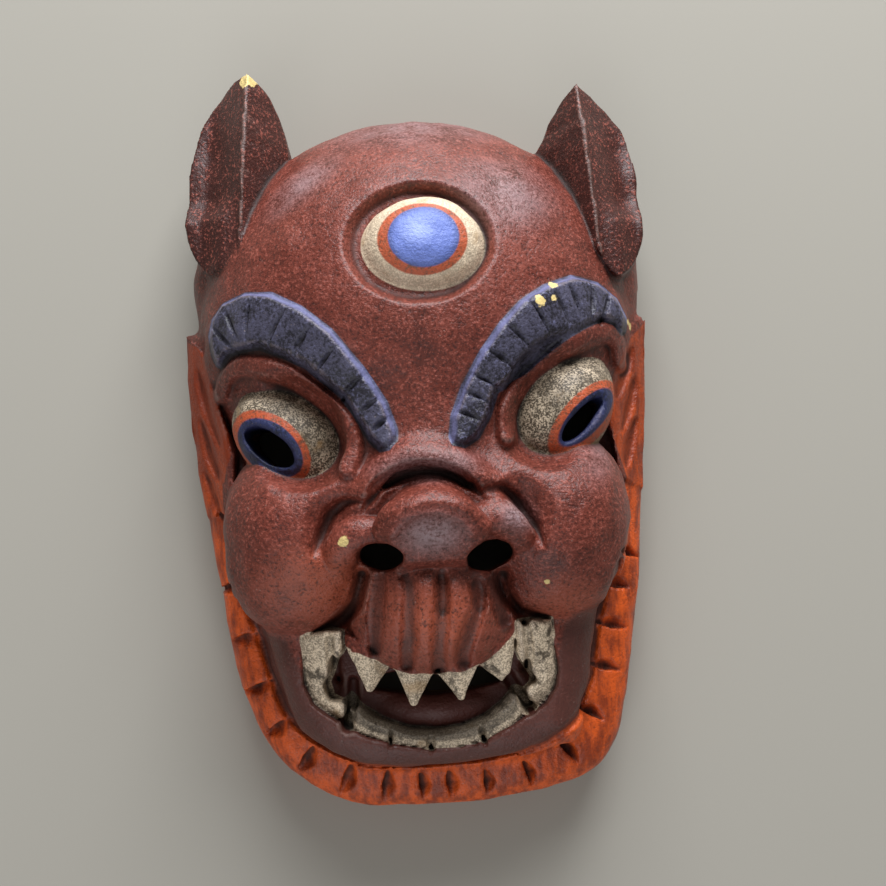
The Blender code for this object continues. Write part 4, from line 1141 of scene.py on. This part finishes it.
    rough = 0.43 + (cloudy - 0.5) * 0.25 + (gritty - 0.5) * 0.30 + grime_and_shade * 0.35 + white * 0.08
    rough = r.clamped(rough + bare_back * 0.35)
    height = (brushy - 0.5) * 0.6 + (gritty - 0.5) * 0.55 + (cloudy - 0.5) * 0.8
    relief = r.node(
        "ShaderNodeBump", {}, {"Strength": 1.0, "Distance": 0.0007, "Height": height}
    )
    shader = r.node("ShaderNodeBsdfPrincipled", {}, {
        "Base Color": colour,
        "Roughness": rough,
        "Normal": relief.outputs["Normal"],
        "Specular IOR Level": 0.28,
        "Coat Weight": 0.08,
        "Coat Roughness": 0.45,
    })
    r.node("ShaderNodeOutputMaterial", {}, {"Surface": shader.outputs[0]})
    return r.material


# The inner border of the orange hair, from the tip of the left tuft down round the chin
FACE_OUTLINE = (
    (-95, 40), (-84, 40), (-80, 37.5), (-77, 35), (-74, 24), (-72, 16), (-68, 5), (-67, -4), (-71, -12),
    (-72, -22), (-70, -40), (-67, -56), (-62, -71), (-58, -85), (-53, -99), (-43, -108),
    (-31, -114), (-11, -117), (-1, -118), (21, -116), (37, -111), (49, -103), (55, -92),
    (58, -78), (62, -64), (66, -50), (72, -34), (74, -20), (69, -6), (67, 4), (69, 12),
    (71, 17), (75, 25), (80, 31), (84, 35), (87, 38), (98, 38), (98, 150), (-95, 150),
)
# How far forward the hair reaches, in carver's units
HAIR_TOP = 50.0
# The dark lower lip, inside the hair
LIP_OUTLINE = (
    (-62, -66), (-50, -70), (-44, -84), (-32, -98), (0, -108), (30, -99), (42, -84), (46, -70),
    (60, -62), (66, -50), (62, -64), (58, -78), (55, -92), (49, -103), (37, -111), (21, -116),
    (-1, -118), (-31, -114), (-43, -108), (-53, -99), (-58, -85),
)


# How far the chisel strayed, in carver's units: the size of the waves and their height
WAVES = ((9.0, 0.42), (3.6, 0.16))


def repeated_cuts(mask):
    """The cuts that a Geometry Nodes tree repeats or runs along a path, sunk into the surface."""
    finer_relief(mask)
    raw = bpy.data.materials.new("raw_wood")
    chisel, gouge = chisel_cuts(raw), gouge_runs(raw)

    def lay(places, lift=0.0):
        return [(x, y, lift) for x, y in places]

    # The numbers are width, length, depth, lean, bow and unevenness
    cuts = [chisel.run(lay(GOUGES), (4.6, 12.0, 3.4, 1.3, 1.3, 0.13))]
    for path, count in zip((LEFT_BROW, RIGHT_BROW), BROW_NOTCHES):
        ends = brow_cuts(path, count)
        middles = [tuple((start + end) / 2) for start, end in ends]
        reaches = [np.hypot(*(end - start)) / 20 for start, end in ends]
        cuts.append(chisel.run(lay(middles), (1.7, 21.0, 1.9, 0.5, 0.8, 0.10), reaches))
    cuts.append(chisel.run(lay(ROW_NOTCHES), (2.4, 8.0, 2.6, 0.5, 0.0, 0.15)))
    for groove in MUZZLE_GROOVES:
        cuts.append(gouge.run(lay(curve_through(groove), 1.0), (3.6, 0.35)))
    for cut in cuts:
        cut_with(mask, cut)


def finer_relief(mask):
    """Hollows and ridges too fine for the plain model: in the corner teeth, the lobes and the snout."""
    for centre, radii in (((-36, -88), (5.5, 6.5)), ((34.5, -86), (4.5, 7.5))):
        mask.disc(centre, radii, -1.6, 3.5)
    for line, half_width, depth, edge in FINE_LINES:
        mask.furrow(line, half_width, depth, edge)


# Points, half width, depth and width of the slope. A depth below zero raises a ridge
FINE_LINES = (
    (((-34, -70), (-34.5, -78), (-33.5, -86)), 0.5, 2.2, 1.9),
    (((32, -69), (33, -78), (32, -86)), 0.5, 2.2, 1.9),
    (((-28.5, -87), (-29, -94), (-30.5, -101)), 1.0, 3.0, 1.8),
    (((25.5, -88), (28.5, -93), (32, -98)), 1.0, 3.0, 1.8),
    (((-17.5, -22.5), (-10, -17.2), (-4, -14.6), (2.5, -14.2), (9.5, -15.6), (15.5, -19.6)), 0.3, -0.9, 1.2),
    (((-10, -36), (-5.5, -31.5), (0, -29.5), (6, -29.6), (11.5, -32), (15.5, -37)), 0.3, -0.7, 1.4),
)


def strayed(mesh, points):
    """The points moved a little along their normals, as a hand-held chisel leaves a surface."""
    normals = np.empty(len(points) * 3, np.float32)
    mesh.vertices.foreach_get("normal", normals)
    chance = np.random.default_rng(27)
    shift = np.zeros(len(points))
    for size, height in WAVES:
        waves = Block(GRID_LOW, GRID_HIGH, size)
        shift += height * sampled(waves, chance.normal(size=waves.distance.shape), points)
    shift *= soft_step(points[:, 2] / 4 - 0.2)
    return points + normals.reshape(-1, 3) * shift[:, None]


def main():
    mask, hollow = carved()
    mesh = thinned(surface_of(mask))
    points = points_of(mesh)
    x, y, z = points.T
    keep = {}
    keep["hair"] = np.maximum(-outline_distance(np.array(FACE_OUTLINE, float), x, y), z - HAIR_TOP)
    outlines = (np.array(LEFT_BROW_OUTLINE), np.array(RIGHT_BROW_OUTLINE))
    keep["brow"] = np.minimum(*(outline_distance(outline, x, y) for outline in outlines))
    tops = [outlines[0][:10], outlines[1][:11]]
    keep["brow_top"] = np.minimum(*(path_distance(curve_through(top), x, y)[0] for top in tops))
    balls = [ellipsoid((*eye["centre"], EYE_BALL_Z), EYE_BALL, eye["turn"]) for eye in EYES.values()]
    outside_mouth = outline_distance(np.array(MOUTH, float), x, y)
    fangs = np.min([shape.distance(x, y, z) for shape in teeth()[:4]], axis=0)
    cream = balls + [ellipsoid(*THIRD_EYE)] + teeth()[4:]
    keep["white"] = np.min([shape.distance(x, y, z) for shape in cream], axis=0)
    keep["white"] = np.minimum(keep["white"], np.maximum(fangs, outside_mouth))
    keep["mouth"] = np.maximum(outside_mouth, z - 56)
    keep["row"] = lower_row().distance(x, y, z)
    front = np.array(LOWER_ROW[:9], float)
    keep["row_front"] = path_distance(curve_through(front), x, y)[0]
    keep["lip"] = outline_distance(np.array(LIP_OUTLINE, float), x, y)
    keep["hollow"] = -np.abs(sampled(mask, hollow, points))
    leaves = zip((-1, 1), (LEFT_EAR, RIGHT_EAR), EAR_ROOTS)
    leaves = [ear(np.array(corners), np.array(root), side) for side, corners, root in leaves]
    keep["ear"] = np.min([leaf.distance(x, y, z) for leaf in leaves], axis=0)
    keep["groove"] = np.min([path_distance(curve_through(path), x, y)[0] for path in MUZZLE_GROOVES], axis=0)
    keep["depth"] = z
    near = np.clip(mask.distance, -12, 12)
    fine = sampled(mask, box_mean(near, 2), points)
    wide = sampled(mask, box_mean(near, 5), points)
    broad = sampled(mask, box_mean(near, 12), points)
    keep["edge"] = np.clip(fine / 0.5, 0, 1.5)
    keep["crease"] = np.clip(-fine / 0.6, 0, 1.5)
    keep["shade"] = np.clip(-wide / 2.2 - broad / 7.0, 0, 1.5)
    for name, values in keep.items():
        keep_amount(mesh, name, values)
    points = strayed(mesh, points)
    low, high = points.min(axis=0), points.max(axis=0)
    size = (HIGH - LOW) / (high - low)
    points = (points - low) * size + LOW
    points[:, 2] = np.where(points[:, 2] < 1e-5, 0.0, points[:, 2])
    mesh.vertices.foreach_set("co", points.astype(np.float32).ravel())
    mesh.update()
    mesh.shade_smooth()
    piece = bpy.data.objects.new("carved_mask", mesh)
    bpy.context.scene.collection.objects.link(piece)
    mesh.materials.clear()
    mesh.materials.append(paint((size, low - LOW / size)))
    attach(piece, "root")
    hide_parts("mask")
    return piece


def studio():
    """A plain pale floor under soft light from the upper right of the picture."""
    bpy.ops.mesh.primitive_plane_add(size=6)
    floor = bpy.context.object
    floor.name = "floor"
    cloth = Recipe("pale_floor")
    shader = cloth.node("ShaderNodeBsdfPrincipled", {}, {"Base Color": (0.31, 0.29, 0.25, 1), "Roughness": 0.9})
    cloth.node("ShaderNodeOutputMaterial", {}, {"Surface": shader.outputs[0]})
    floor.data.materials.append(cloth.material)
    for name, place, width, power in LAMPS:
        lamp = bpy.data.lights.new(name, "AREA")
        lamp.size, lamp.energy, lamp.color = width, power, DAYLIGHT
        holder = bpy.data.objects.new(name, lamp)
        holder.location = place
        holder.rotation_euler = (-Vector(place)).to_track_quat("-Z", "Y").to_euler()
        bpy.context.scene.collection.objects.link(holder)
    world = bpy.data.worlds.new("soft_room")
    world.use_nodes = True
    world.node_tree.nodes["Background"].inputs["Color"].default_value = (1, 1, 1, 1)
    world.node_tree.nodes["Background"].inputs["Strength"].default_value = ROOM_LIGHT
    bpy.context.scene.world = world


# Name, place in metres, width in metres and power in watts
LAMPS = (
    ("window", (0.20, 1.15, 0.62), 0.9, 42.0),
    ("room", (-0.30, -1.00, 0.80), 1.2, 8.0),
)
DAYLIGHT = (0.93, 0.96, 1.0)
ROOM_LIGHT = 0.27

# Where the photograph was taken from, in metres and degrees
VIEW_DISTANCE, VIEW_TILT, VIEW_ROLL, VIEW_LENS = 0.480, 3.5, 3.64, 50.0
VIEW_SHIFT = (0.0076, -0.0012, 0.0)


def photographer():
    tilt, roll = np.radians((VIEW_TILT, VIEW_ROLL))
    back = np.array([0, -np.sin(tilt), np.cos(tilt)])
    right = np.array([1.0, 0, 0])
    turn = np.array([[np.cos(roll), np.sin(roll), 0], [-np.sin(roll), np.cos(roll), 0], [0, 0, 1]])
    axes = [turn @ axis for axis in (right, np.cross(back, right), back)]
    place = Matrix(np.array(axes).T.tolist()).to_4x4()
    place.translation = Vector(turn @ back * VIEW_DISTANCE + VIEW_SHIFT)
    camera = bpy.data.cameras.new("photographer")
    camera.lens, camera.sensor_width, camera.clip_start = VIEW_LENS, 36.0, 0.01
    holder = bpy.data.objects.new("photographer", camera)
    holder.matrix_world = place
    bpy.context.scene.collection.objects.link(holder)
    bpy.context.scene.camera = holder


main()
studio()
photographer()
bpy.context.scene.view_settings.view_transform = "Standard"
